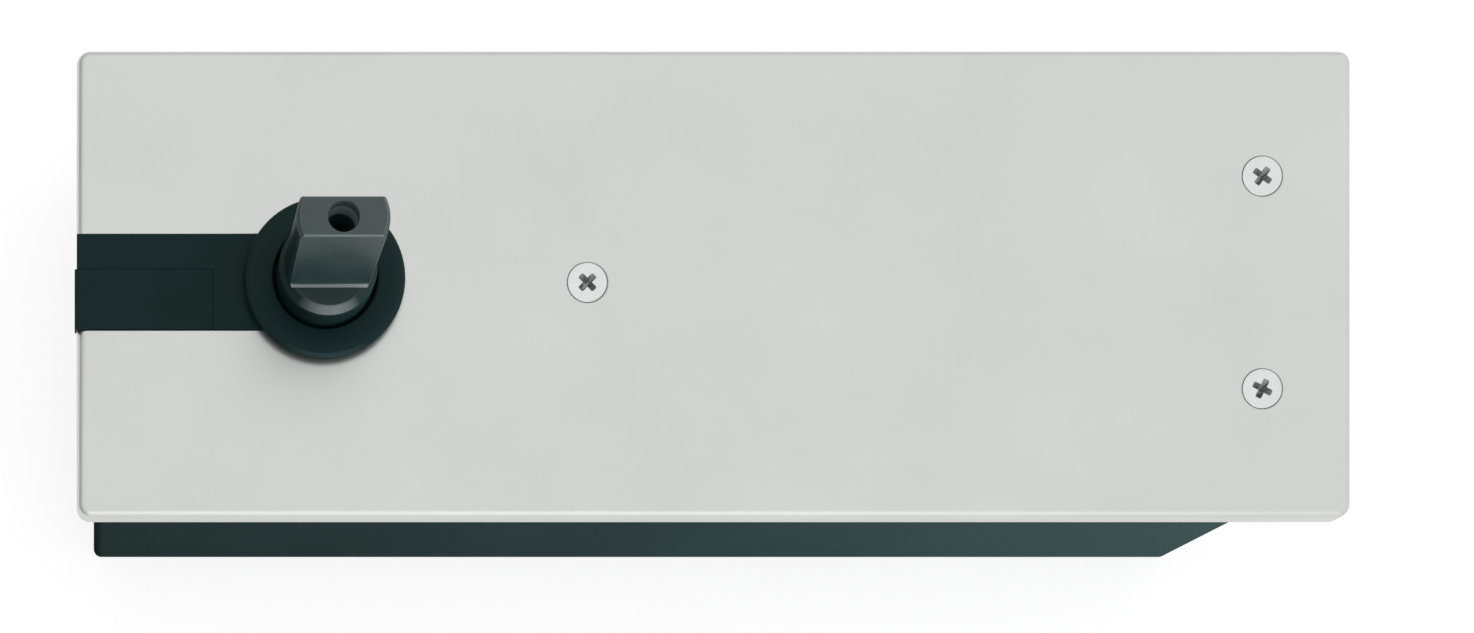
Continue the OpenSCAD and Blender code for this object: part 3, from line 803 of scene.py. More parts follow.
class PartTree:
    """A Geometry Nodes tree that ends in Realize Instances and Set Material."""

    def __init__(self, name: str, numbers: dict[str, float]) -> None:
        """Starts the tree.

        Args:
            name: The tree's name.
            numbers: Its named inputs and their values.
        """
        self.graph = Graph(bpy.data.node_groups.new(name, "GeometryNodeTree"))
        self.numbers = numbers
        face = self.graph.tree.interface
        face.new_socket(name="Geometry", in_out="INPUT", socket_type="NodeSocketGeometry")
        self.sockets = {
            title: face.new_socket(name=title, in_out="INPUT", socket_type=FLOAT) for title in numbers
        }
        face.new_socket(name="Geometry", in_out="OUTPUT", socket_type="NodeSocketGeometry")
        self.start = self.graph.add("NodeGroupInput")
        self.end = self.graph.add("NodeGroupOutput")

    def value(self, title: str) -> Socket:
        """Gives the socket of a named input."""
        return self.start.outputs[title]

    def close(self, out: Socket, finish: Finish) -> None:
        """Ends the tree.

        Args:
            out: The geometry to put out.
            finish: The finish of the result.
        """
        real = self.graph.add("GeometryNodeRealizeInstances", out)
        coat = self.graph.add("GeometryNodeSetMaterial", real.outputs[0], Material=finish.material())
        self.graph.join(coat.outputs[0], self.end.inputs[0])

    def grow(self, name: str, seeds: Sequence[Vector]) -> Piece:
        """Runs the tree on a few points.

        Args:
            name: Name of the piece.
            seeds: The points that the tree starts from.

        Returns:
            The piece, as a plain mesh.
        """
        mesh = bpy.data.meshes.new(name)
        mesh.from_pydata([tuple(p) for p in seeds], [], [])
        piece = set_out(name, mesh)
        modifier = piece.modifiers.new("grow", "NODES")
        modifier.node_group = self.graph.tree
        for title, socket in self.sockets.items():
            modifier[socket.identifier] = float(self.numbers[title])
        return settle(piece)


def scatter(name: str, model: Piece, seeds: Sequence[Vector], turn: float, finish: Finish) -> Piece:
    """Sets copies of a small part on points, each turned a little further.

    Args:
        name: Name of the piece.
        model: The part, built at the origin, which is used up.
        seeds: Where the copies go.
        turn: How much further each copy is turned about Z, in degrees.
        finish: Their finish.

    Returns:
        The copies as one plain mesh.
    """
    tree = PartTree(f"{name} places", {"Turn": math.radians(turn)})
    graph = tree.graph
    source = graph.add("GeometryNodeObjectInfo", Object=model)
    count = graph.add("GeometryNodeInputIndex")
    angle = graph.calc("MULTIPLY", count.outputs[0], tree.value("Turn"))
    about = graph.add("ShaderNodeCombineXYZ", Z=angle)
    copies = graph.add(
        "GeometryNodeInstanceOnPoints", Points=tree.value("Geometry"),
        Instance=source.outputs["Geometry"], Rotation=about.outputs[0])
    tree.close(copies.outputs[0], finish)
    piece = tree.grow(name, seeds)
    bpy.data.objects.remove(model)
    return piece


# -------------------------------------------------------------- sub-assemblies


@dataclass
class CoverPlate:
    """The rolled steel cover, with its slot and its three countersunk holes."""

    sheet: float = 1.5 * MM
    roll: float = 2.1 * MM
    corner: float = 3.2 * MM
    slot_width: float = 22.6 * MM
    neck: float = 29.8 * MM
    sink_top: float = 10.0 * MM
    sink_low: float = 6.6 * MM
    flat_start: float = 0.5 * MM
    sheared: float = 0.3 * MM
    least_corner: float = 0.6 * MM
    edge: float = 0.18 * MM
    # Where the countersinks' painted shade stops: under the top, and past the sinks' rim.
    sink_shade_below: float = 0.15 * MM
    sink_shade_reach: float = 0.1 * MM
    low: Vector = low_corner("cover_plate")
    high: Vector = high_corner("cover_plate")
    axis: Vector = on_axis("spindle_turn")

    def _level(self, inset: float, z: float) -> Ring:
        """Draws the cover's outline at a height.

        Args:
            inset: How far it is drawn in.
            z: The height.

        Returns:
            The outline's points.
        """
        step = Vector((inset, inset, 0))
        radius = max(self.corner - inset, self.least_corner)
        return outline(self.low + step, self.high - step, [radius] * 4, z)

    def _skin(self) -> Piece:
        """Makes the closed sheet: over the top, round the roll, and back inside.

        Returns:
            The cover before it is cut.
        """
        top, foot, roll, sheet, cut = self.high.z, self.low.z, self.roll, self.sheet, self.sheared
        quarter = arc(1.0, 90, 0, 12)
        levels = [(roll + self.flat_start, top)]
        levels += [(roll * (1 - x), top - roll * (1 - z)) for x, z in quarter]
        levels += [(0, foot + cut), (cut, foot), (sheet - cut, foot), (sheet, foot + cut)]
        inner = roll - sheet
        levels += [(sheet + inner * (1 - x), top - roll + inner * z) for x, z in reversed(quarter)]
        levels.append((roll + self.flat_start, top - sheet))
        return skin("cover", [self._level(inset, z) for inset, z in levels])

    def _cutters(self) -> list[Piece]:
        """Makes the solids that open the slot and the screw holes.

        Returns:
            The cutters.
        """
        half, reach = self.slot_width / 2, OVERLAP
        low = Vector((self.low.x - reach, -half, self.low.z - reach))
        high = Vector((self.axis.x, half, self.high.z + reach))
        tools = [block("slot tool", low, high)]
        sides = [(self.neck / 2, self.low.z), (self.neck / 2, self.high.z + reach)]
        tools.append(lathe("neck tool", self.axis, sides))
        more = (self.sink_top - self.sink_low) / 2 / self.sheet * reach
        cone = [(self.sink_low / 2 - more, self.high.z - self.sheet - reach),
                (self.sink_top / 2 + more, self.high.z + reach)]
        return tools + [lathe("sink tool", centre, cone, 64) for centre in SCREW_PLACES]

    def build(self) -> None:
        """Builds the cover and sets it in the frame."""
        plate = combine(self._skin(), self._cutters(), "DIFFERENCE")
        soften(plate, self.edge, 2, 40)
        dress(plate, COVER_STEEL, HOUSING, ["cover_plate"])
        # The countersinks take the darker steel, as painted shade round the screw heads.
        top, reach = self.high.z - self.sink_shade_below, self.sink_top / 2 + self.sink_shade_reach
        mark_faces(plate, RECESS_SHADE_STEEL, lambda place, _: place.z < top and near_screw(place, reach))


@dataclass
class CoverScrews:
    """The countersunk screws with their cross recesses."""

    head: float = 9.3 * MM
    cone: float = 2.3 * MM
    shank: float = 4.9 * MM
    pitch: float = 0.8 * MM
    groove: float = 0.45 * MM
    point: float = 0.4 * MM
    arm: float = 4.8 * MM
    arm_width: float = 1.5 * MM
    arm_round: float = 0.35 * MM
    foot_round: float = 0.15 * MM
    arm_flare: float = 1.02
    arm_over: float = 0.2 * MM
    rim_round: tuple[Pair, ...] = ((0.15, 0.2), (0.0, 0.12), (0.1, 0.02), (0.5, 0.0))
    depth: float = 2.0 * MM
    # How far under the head's top the recess's painted shade starts.
    recess_shade_below: float = 0.1 * MM
    edge: float = 0.08 * MM
    turn: float = 9.0

    def _arm(self, turn: float) -> Piece:
        """Makes one tapering arm of the recess.

        Args:
            turn: The arm's angle in degrees.

        Returns:
            The cutter.
        """
        top = Vector((self.arm / 2, self.arm_width / 2, 0))
        low = Vector((self.arm / 5, self.arm_width / 5, 0))
        levels = [(low, self.foot_round, -self.depth), (top, self.arm_round, 0.0),
                  (top * self.arm_flare, self.arm_round, self.arm_over)]
        rings = [outline(-half, half, [corner] * 4, z, 3) for half, corner, z in levels]
        cutter = skin("arm tool", rings)
        cutter.data.transform(Matrix.Rotation(math.radians(turn), 4, "Z"))
        return cutter

    def _screw(self, length: float) -> Piece:
        """Makes one screw with its head's top at the origin.

        Args:
            length: Length over all.

        Returns:
            The screw.
        """
        core, tip = self.shank / 2 - self.groove, -length
        profile = [(NEAR_AXIS, tip), (core - self.point, tip)]
        height = tip + self.point
        while height < -self.cone - self.pitch:
            profile += [(core, height), (self.shank / 2, height + self.pitch / 2)]
            height += self.pitch
        rim = [(self.head / 2 - x * MM, -z * MM) for x, z in self.rim_round]
        profile += [(core, -self.cone), *rim, (NEAR_AXIS, 0)]
        return lathe("screw model", Vector((0, 0, 0)), profile, 64)

    def build(self) -> None:
        """Builds one screw and sets a copy in each hole."""
        low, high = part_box("cover_screws")
        model = self._screw(high[2] - low[2])
        combine(model, [self._arm(45), self._arm(135)], "DIFFERENCE")
        soften(model, self.edge, 2, 30)
        piece = scatter("cover_screw_set", model, SCREW_PLACES, self.turn, SCREW_ZINC)
        dress(piece, SCREW_ZINC, HOUSING, ["cover_screws"])
        # The cross recesses take the darker steel, as painted shade.
        low, high = SCREW_PLACES[0].z - self.cone, SCREW_PLACES[0].z - self.recess_shade_below
        reach = self.arm / 2
        mark_faces(piece, RECESS_SHADE_STEEL, lambda place, _: low < place.z < high and near_screw(place, reach))


@dataclass
class SlotInsert:
    """The black moulding that fills the slot, its rosette and its end tab."""

    strip: float = 22.4 * MM
    hole: float = 24.4 * MM
    neck: float = 29.6 * MM
    rim: float = 37.6 * MM
    below: float = 0.8 * MM
    tuck: float = 1.6 * MM
    tuck_bend: Pair = (0.45, 0.6)
    round_in: float = 3.0 * MM
    round_down: float = 1.15 * MM
    proud: float = 0.3 * MM
    sheet: float = 1.5 * MM
    gap: float = 0.12 * MM
    strip_corner: float = 0.2 * MM
    tab_corner: float = 0.3 * MM
    tab_edge: float = 0.2 * MM
    tab_depth: float = 1.2 * MM
    hook: float = 2.4 * MM
    mouth: float = 0.35 * MM
    edge: float = 0.22 * MM
    # Which faces of the rosette's rim take the painted highlight: their rise, and how far they face the
    # front.
    highlight_rise: Pair = (0.3, 0.93)
    highlight_front: Pair = (0.83, 0.15)
    axis: Vector = on_axis("spindle_turn")
    low: Vector = low_corner("slot_insert")
    high: Vector = high_corner("slot_insert")
    tab_low: Vector = low_corner("end_tab")
    tab_high: Vector = high_corner("end_tab")
    cover: Vector = high_corner("cover_plate")

    def _rosette(self) -> Piece:
        """Turns the rosette, from its neck in the cover to its rounded rim.

        Returns:
            The rosette.
        """
        top, base, rim = self.high.z, self.cover.z, self.rim / 2
        quarter = arc(1.0, 0, 90, 10)
        soft = [(rim - self.round_in * (1 - x), top - self.round_down * (1 - z)) for x, z in quarter]
        hole, neck = self.hole / 2, self.neck / 2
        inner = [(hole + self.mouth, top), (hole, top - self.mouth)]
        under, (x, z) = base - self.sheet - self.below, self.tuck_bend
        foot = [(rim - self.tuck, base), (rim - x * self.tuck, base + z * self.tuck)]
        profile = [(hole, under), (neck, under), (neck, base), *foot, *soft, *inner]
        return lathe("insert", self.axis, profile, 128, around=True)

    def _strip(self) -> Piece:
        """Makes the strip from the cover's end to the rosette.

        Returns:
            The strip.
        """
        half, levels = self.strip / 2, (self.cover.z - self.sheet, self.cover.z + self.proud)
        low = Vector((self.low.x, -half, 0))
        high = Vector((self.axis.x - self.neck / 2 + OVERLAP, half, 0))
        corners = [self.strip_corner] * 4
        return skin("strip", [outline(low, high, corners, z, 3) for z in levels])

    def _tab_space(self) -> Piece:
        """Makes the cutter that lets the tab in.

        Returns:
            The cutter.
        """
        floor = self.cover.z + self.proud - self.tab_depth
        low = Vector((self.low.x - OVERLAP, self.tab_low.y - self.gap, floor))
        high = Vector((self.tab_high.x + self.gap, self.tab_high.y + self.gap, self.high.z))
        return block("tab tool", low, high)

    def _tab(self) -> Piece:
        """Makes the end tab, which hooks over the cover's end.

        Returns:
            The tab.
        """
        top = self.cover.z + self.proud
        levels, corners = (top - self.tab_depth, top), [self.tab_corner] * 4
        rings = [outline(self.tab_low, self.tab_high, corners, z, 4) for z in levels]
        tab = skin("end_tab_cap", rings)
        low = Vector((self.tab_low.x, self.tab_low.y, top - self.hook))
        high = Vector((self.low.x, self.tab_high.y, top - self.proud))
        return combine(tab, [block("hook", low, high)], "UNION")

    def _highlight(self, place: Vector, rise: float) -> float:
        """Gives how strongly a painted highlight lightens a face of the rosette's rim.

        Args:
            place: The face's middle.
            rise: How far the face looks up.

        Returns:
            A share from 0 to 1.
        """
        out = (place - self.axis).to_2d()
        on_rim = out.length > self.rim / 2 - self.round_in and place.z > self.cover.z
        (least, most), (start, run) = self.highlight_rise, self.highlight_front
        if not (on_rim and least < rise < most):
            return 0.0
        return min(max((-out.y / out.length - start) / run, 0.0), 1.0)

    def build(self) -> None:
        """Builds the moulding and its tab."""
        insert = combine(self._rosette(), [self._strip()], "UNION")
        combine(insert, [self._tab_space()], "DIFFERENCE")
        soften(insert, self.edge, 3)
        dress(insert, INSERT_PLASTIC, HOUSING, ["slot_insert"])
        # The front of the rosette's rim takes a painted highlight; the moulding's other faces are not
        # lightened.
        paint_highlight(insert, self._highlight, edges=False)
        tab = soften(self._tab(), self.tab_edge, 3)
        dress(tab, INSERT_PLASTIC, HOUSING, ["end_tab"])
        # The tab's faces take no painted highlight.
        paint_highlight(tab, lambda *_: 0.0, edges=False)


@dataclass
class Spindle:
    """The blackened spindle: collar, tapered tongue and tapped hole."""

    collar: float = 22.8 * MM
    tongue: float = 20.6 * MM
    foot: float = 10.0 * MM
    top: float = 8.8 * MM
    height: float = 23.3 * MM
    journal: float = 15.9 * MM
    shaft: float = 22.0 * MM
    chamfer: float = 0.8 * MM
    collar_in: float = 1.6 * MM
    fillet: float = 0.55 * MM
    lip: float = 0.3 * MM
    edge: float = 0.3 * MM
    tap: float = 6.8 * MM
    thread: float = 8.0 * MM
    pitch: float = 1.25 * MM
    tap_depth: float = 18.0 * MM
    tap_point: float = 2.0 * MM
    tap_blind: float = 3.0 * MM
    lid_gap: float = 0.4 * MM
    mouth: float = 0.15 * MM
    key: float = 5.0 * MM
    # Strength of the painted highlights in the tapped hole, on the tongue and on the collar's chamfer,
    # and how far these reach.
    bright: float = 0.9
    bright_thread: float = 6.0 * MM
    collar_highlight: Pair = (0.76, 0.23)
    level: float = 0.97
    low: Vector = low_corner("spindle")
    high: Vector = high_corner("spindle")
    axis: Vector = on_axis("spindle_turn")

    def _blank(self) -> Piece:
        """Turns the spindle up to its shoulder.

        Returns:
            The journal, the shaft and the collar.
        """
        shoulder = self.high.z - self.height
        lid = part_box("body_lid")
        step, collar_foot = lid[0][2] + self.lid_gap, lid[1][2]
        foot, journal, shaft, c = self.low.z, self.journal / 2, self.shaft / 2, self.chamfer
        profile = [
            (NEAR_AXIS, foot), (journal - c, foot), (journal, foot + c), (journal, step), (shaft, step),
            (shaft, collar_foot), (self.collar / 2, collar_foot), *self._collar_round(shoulder),
            (NEAR_AXIS, shoulder),
        ]
        return lathe("spindle_shaft", self.axis, profile, 128)

    def _tongue(self) -> Piece:
        """Turns the tongue and cuts its two flats.

        Returns:
            The tongue, which reaches down into the collar.
        """
        crown, c, r = self.high.z, self.chamfer, self.tongue / 2
        foot = crown - self.height - self.collar_in
        profile = [(NEAR_AXIS, foot), (r, foot), (r, crown - c), (r - c, crown), (NEAR_AXIS, crown)]
        tongue = lathe("tongue", self.axis, profile, 128)
        combine(tongue, [self._flat_tool(1), self._flat_tool(-1)], "DIFFERENCE")
        return soften(tongue, self.edge, 2, 28)

    def _collar_round(self, shoulder: float) -> list[Pair]:
        """Gives the points over the collar's chamfer, with a narrow turn at both of its ends.

        Args:
            shoulder: Height of the collar's top.

        Returns:
            (radius, height) pairs from the side to the top.
        """
        out, width = self.collar / 2, self.collar_in
        half = [(0, 1.2), (0, 1.08), (0.08, 0.92), (0.14, 0.86)]
        corner = half + [(z, x) for x, z in reversed(half)]
        return [(out - width * x, shoulder - width * z) for x, z in corner]

    def _flat_tool(self, side: int) -> Piece:
        """Makes the cutter of one flat, with a small fillet at its foot and a chamfer at its top.

        Args:
            side: 1 for the back, -1 for the front.

        Returns:
            The cutter.
        """
        shoulder, reach, f = self.high.z - self.height, self.collar, self.fillet
        foot, top = self.foot / 2, self.top / 2
        slope = (foot - top) / self.height
        low = shoulder - self.collar_in - OVERLAP
        crown, lip = self.high.z, self.lip
        section = [(foot + f, low), (foot + f, shoulder), (foot + 0.3 * f, shoulder + 0.3 * f),
                   (foot - slope * f, shoulder + f), (top + slope * lip, crown - lip),
                   (top - 2 * lip, crown + lip), (reach, crown + lip), (reach, low)]
        ends = (self.axis.x - reach, self.axis.x + reach)
        rings = [[Vector((x, self.axis.y + side * y, z)) for y, z in section] for x in ends]
        return skin("flat tool", rings)

    def _tap_tool(self) -> Piece:
        """Makes the cutter of the tapped hole, with its thread's grooves.

        Returns:
            The cutter.
        """
        crown, core, crest = self.high.z, self.tap / 2, self.thread / 2
        depth = crown - self.tap_depth
        profile = [(NEAR_AXIS, depth - self.tap_point), (core, depth)]
        height = depth + self.tap_blind
        while height < crown - 2 * self.pitch:
            profile += [(core, height), (crest - self.mouth, height + self.pitch / 2)]
            height += self.pitch
        mouth, over = core + self.mouth, crown + OVERLAP
        profile += [
            (core, height), (core, crown - self.mouth), (mouth, crown), (mouth, over), (NEAR_AXIS, over)]
        return lathe("tap tool", self.axis, profile, 64)

    def _highlight(self, place: Vector, rise: float) -> float:
        """Gives how strongly a painted highlight lightens a face of the spindle.

        Args:
            place: The face's middle.
            rise: How far the face looks up.

        Returns:
            A share from 0 to 1.
        """
        shoulder, crown = self.high.z - self.height, self.high.z
        out = (place - self.axis).to_2d()
        near, (start, run) = 0.1 * MM, self.collar_highlight
        in_tap = out.length < self.thread / 2 - near
        if in_tap and crown - self.bright_thread < place.z < crown - near:
            return self.bright
        if not 0.3 < rise < self.level:
            return 0.0
        if place.z > crown - self.lip and abs(out.y) > self.top / 2 - self.lip:
            return self.bright / 2
        if shoulder - 0.95 * self.collar_in < place.z < shoulder:
            return min(max((abs(out.y) / out.length - start) / run, 0.0), 1.0)
        at_foot = shoulder < place.z < shoulder + 0.8 * self.fillet
        return self.bright if at_foot and abs(out.y) < self.foot / 2 + self.fillet else 0.0

    def _in_shade(self, place: Vector, rise: float) -> bool:
        """Tells whether a face lies on the collar or on the tongue's round sides.

        Args:
            place: The face's middle.
            rise: How far the face looks up.

        Returns:
            Whether it takes the darker steel as painted shade.
        """
        on_collar = place.z < self.high.z - self.height - 0.01 * MM
        on_side = abs(rise) < 0.2 and abs(place.y - self.axis.y) < 0.8 * self.top / 2
        return rise < self.level and (on_collar or on_side)

    def build(self) -> None:
        """Builds the spindle and sets it in the frame."""
        shaft = combine(self._blank(), [self._tongue()], "UNION")
        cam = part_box("cam_key")
        slot_low = Vector((self.axis.x - self.journal, -self.key / 2, cam[0][2]))
        slot_high = Vector((cam[1][0], self.key / 2, cam[1][2]))
        tools = [self._tap_tool(), block("key tool", slot_low, slot_high)]
        combine(shaft, tools, "DIFFERENCE")
        smooth(shaft)
        dress(shaft, SPINDLE_STEEL, "spindle", ["spindle"])
        # Painted highlights lighten the chamfer, hole and edge faces; the darker steel paints shade on
        # the collar's side and the tongue's round sides.
        paint_highlight(shaft, self._highlight)
        mark_faces(shaft, SHADED_STEEL, self._in_shade)


@dataclass
class FloorBox:
    """The pressed sheet-steel box that is let into the floor."""

    sheet: float = 1.2 * MM
    near_corner: float = 2.0 * MM
    far_corner: float = 1.6 * MM
    least_corner: float = 0.2 * MM
    bend: float = 1.3 * MM
    least_bend: float = 0.3 * MM
    fixing: float = 6.5 * MM
    edge: float = 0.12 * MM
    low: Vector = low_corner("floor_box")
    high: Vector = high_corner("floor_box")

    def _level(self, inset: float, z: float) -> Ring:
        """Draws the box's outline at a height.

        Args:
            inset: How far it is drawn in.
            z: The height.

        Returns:
            The outline's points.
        """
        step = Vector((inset, inset, 0))
        far, near = self.far_corner - inset, self.near_corner - inset
        corners = [max(r, self.least_corner) for r in (far, near, near, far)]
        return outline(self.low + step, self.high - step, corners, z)

    def _shell(self) -> Piece:
        """Makes the closed sheet: up the outside, over the top and down the inside.

        Returns:
            The box before it is drilled.
        """
        low, top, sheet, bend = self.low.z, self.high.z, self.sheet, self.bend
        inner = max(bend - sheet, self.least_bend)
        levels = [(bend - x, low + bend + z) for x, z in arc(bend, -90, 0, 6)]
        levels += [(0, top), (sheet, top)]
        levels += [(sheet + inner - x, low + sheet + inner + z) for x, z in arc(inner, 0, -90, 4)]
        return skin("floor_box_shell", [self._level(inset, z) for inset, z in levels])

    def _drills(self) -> list[Piece]:
        """Makes the cutters of the four fixing holes.

        Returns:
            The cutters.
        """
        mount = {m["name"]: m for m in frame["record"]["mounts"]}["floor_fixings"]
        middle, dims = Vector(mount["pos_m"]), mount["dims"]
        x, y = dims["spacing_x_mm"] * MM / 2, dims["spacing_y_mm"] * MM / 2
        drill = [(self.fixing / 2, -2 * MM), (self.fixing / 2, 4 * MM)]
        spots = [middle + Vector((sx * x, sy * y, 0)) for sx in (-1, 1) for sy in (-1, 1)]
        return [lathe("drill", spot, drill, 48) for spot in spots]

    def build(self) -> None:
        """Builds the box and sets it in the frame."""
        box = combine(self._shell(), self._drills(), "DIFFERENCE")
        soften(box, self.edge, 2, 40)
        dress(box, BOX_COAT, HOUSING, ["floor_box"])


@dataclass
class ClosingSpring:
    """The closing spring, wound by a rule: close at both ends and open between."""

    wire: float = 4.2 * MM
    turns: float = 15
    closed_turns: float = 1
    closed_gap: float = 1.04
    chords: int = 40
    sides: int = 16
    travel: float = 18.2 * MM
    low: Vector = low_corner("closing_spring")
    high: Vector = high_corner("closing_spring")
    axis: Vector = on_axis("spindle_turn")

    def _path(self, tree: PartTree, steps: int) -> Socket:
        """Adds the nodes that place a point of the wire's middle line.

        Args:
            tree: The spring's tree.
            steps: How many chords the line has.

        Returns:
            The point's place.
        """
        graph, value = tree.graph, tree.value
        index = graph.add("GeometryNodeInputIndex")
        turn = graph.calc("MULTIPLY", graph.calc("DIVIDE", index.outputs[0], steps), value("Turns"))
        first = graph.calc("MINIMUM", turn, value("Closed Turns"))
        last_start = graph.calc("SUBTRACT", value("Turns"), value("Closed Turns"))
        last = graph.calc("MAXIMUM", graph.calc("SUBTRACT", turn, last_start), 0.0)
        middle = graph.calc("SUBTRACT", graph.calc("SUBTRACT", turn, first), last)
        shut = graph.calc("MULTIPLY", graph.calc("ADD", first, last), value("Closed Pitch"))
        run = graph.calc("ADD", shut, graph.calc("MULTIPLY", middle, value("Open Pitch")))
        place = [graph.calc("ADD", run, self.low.x + self.wire / 2)]
        angle = graph.calc("MULTIPLY", turn, 2 * math.pi)
        for kind, offset in (("COSINE", self.axis.y), ("SINE", self.axis.z)):
            far = graph.calc("MULTIPLY", graph.calc(kind, angle, 0.0), value("Radius"))
            place.append(graph.calc("ADD", far, offset))
        return graph.add("ShaderNodeCombineXYZ", *place).outputs[0]

    def _tree(self) -> PartTree:
        """Builds the tree that winds the wire round its path.

        Returns:
            The tree.
        """
        length = self.high.x - self.low.x - self.wire
        closed = self.wire * self.closed_gap
        opened = (length - 2 * closed * self.closed_turns) / (self.turns - 2 * self.closed_turns)
        radius = (self.high.y - self.low.y - self.wire) / 2
        tree = PartTree("spring winding", {
            "Turns": self.turns, "Radius": radius, "Wire": self.wire / 2, "Closed Pitch": closed,
            "Open Pitch": opened, "Closed Turns": self.closed_turns,
        })
        graph, steps = tree.graph, int(self.turns * self.chords)
        line = graph.add("GeometryNodeMeshLine", mode="OFFSET", Count=steps + 1)
        bend = graph.add("GeometryNodeSetPosition", line.outputs[0], Position=self._path(tree, steps))
        curve = graph.add("GeometryNodeMeshToCurve", bend.outputs[0])
        ring = graph.add(
            "GeometryNodeCurvePrimitiveCircle", Resolution=self.sides, Radius=tree.value("Wire"))
        tube = graph.add("GeometryNodeCurveToMesh", curve.outputs[0], ring.outputs[0], Fill_Caps=True)
        tree.close(tube.outputs[0], SPRING_WIRE)
        return tree

    def build(self) -> None:
        """Winds the spring and sets it in the frame."""
        spring = smooth(self._tree().grow("closing_spring_coil", [Vector((0, 0, 0))]))
        dress(spring, SPRING_WIRE, HOUSING, ["closing_spring"])
        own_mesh(spring)


@dataclass
class BallRow:
    """The bearing's balls."""

    count: int = 12
    low: Vector = low_corner("bearing_balls")
    high: Vector = high_corner("bearing_balls")

    def build(self) -> None:
        """Sets the balls round the spindle."""
        axis = joint_place("spindle_turn")
        radius, middle = (self.high.z - self.low.z) / 2, (self.high.z + self.low.z) / 2
        far = self.high.x - axis.x - radius
        profile = [(max(x, NEAR_AXIS / 2), z) for x, z in arc(radius, -90, 90, 16)]
        model = smooth(lathe("ball model", Vector((0, 0, 0)), profile, 32), 60)
        ring = circle(axis, far, middle, self.count)
        piece = scatter("bearing_ball_row", model, ring, 0, POLISHED_STEEL)
        dress(piece, POLISHED_STEEL, HOUSING, ["bearing_balls"])


@dataclass
class CarriedSolids:
    """The solids whose own shape is right and which only need a finish."""

    finishes: dict[Finish, list[str]] = field(default_factory=lambda: {
        BOX_COAT: ["cover_lugs"],
        CAST_IRON: ["closer_body"],
        LID_IRON: ["body_lid"],
        GROUND_STEEL: ["heart_cam", "cam_key", "roller_pin", "roller_carriage", "piston"],
        POLISHED_STEEL: ["bearing_outer_ring", "bearing_inner_ring", "roller", "check_ball"],
        BRONZE: ["lower_bush", "thrust_washer", "check_seat", "filler_washer"],
        BLACK_OXIDE: ["lid_screws", "carriage_screws", "channel_plug", "levelling_screws"],
        SEAL_RUBBER: ["shaft_seal", "piston_ring", "end_plug_seal", "valve_seals"],
        GASKET_FIBRE: ["lid_gasket"],
        SCREW_ZINC: ["floor_nuts", "spring_seat", "end_plug", "closing_valve", "latching_valve",
                     "filler_plug", "clamp_bolts", "clamp_washers"],
    })

    def build(self) -> None:
        """Gives each solid its finish."""
        for finish, names in self.finishes.items():
            for name in names:
                solid = frame["nodes"][name]
                solid.data.materials.clear()
                solid.data.materials.append(finish.material())
                LOG.info("%s: %s", name, finish.name)


# --------------------------------------------------------------------- studio


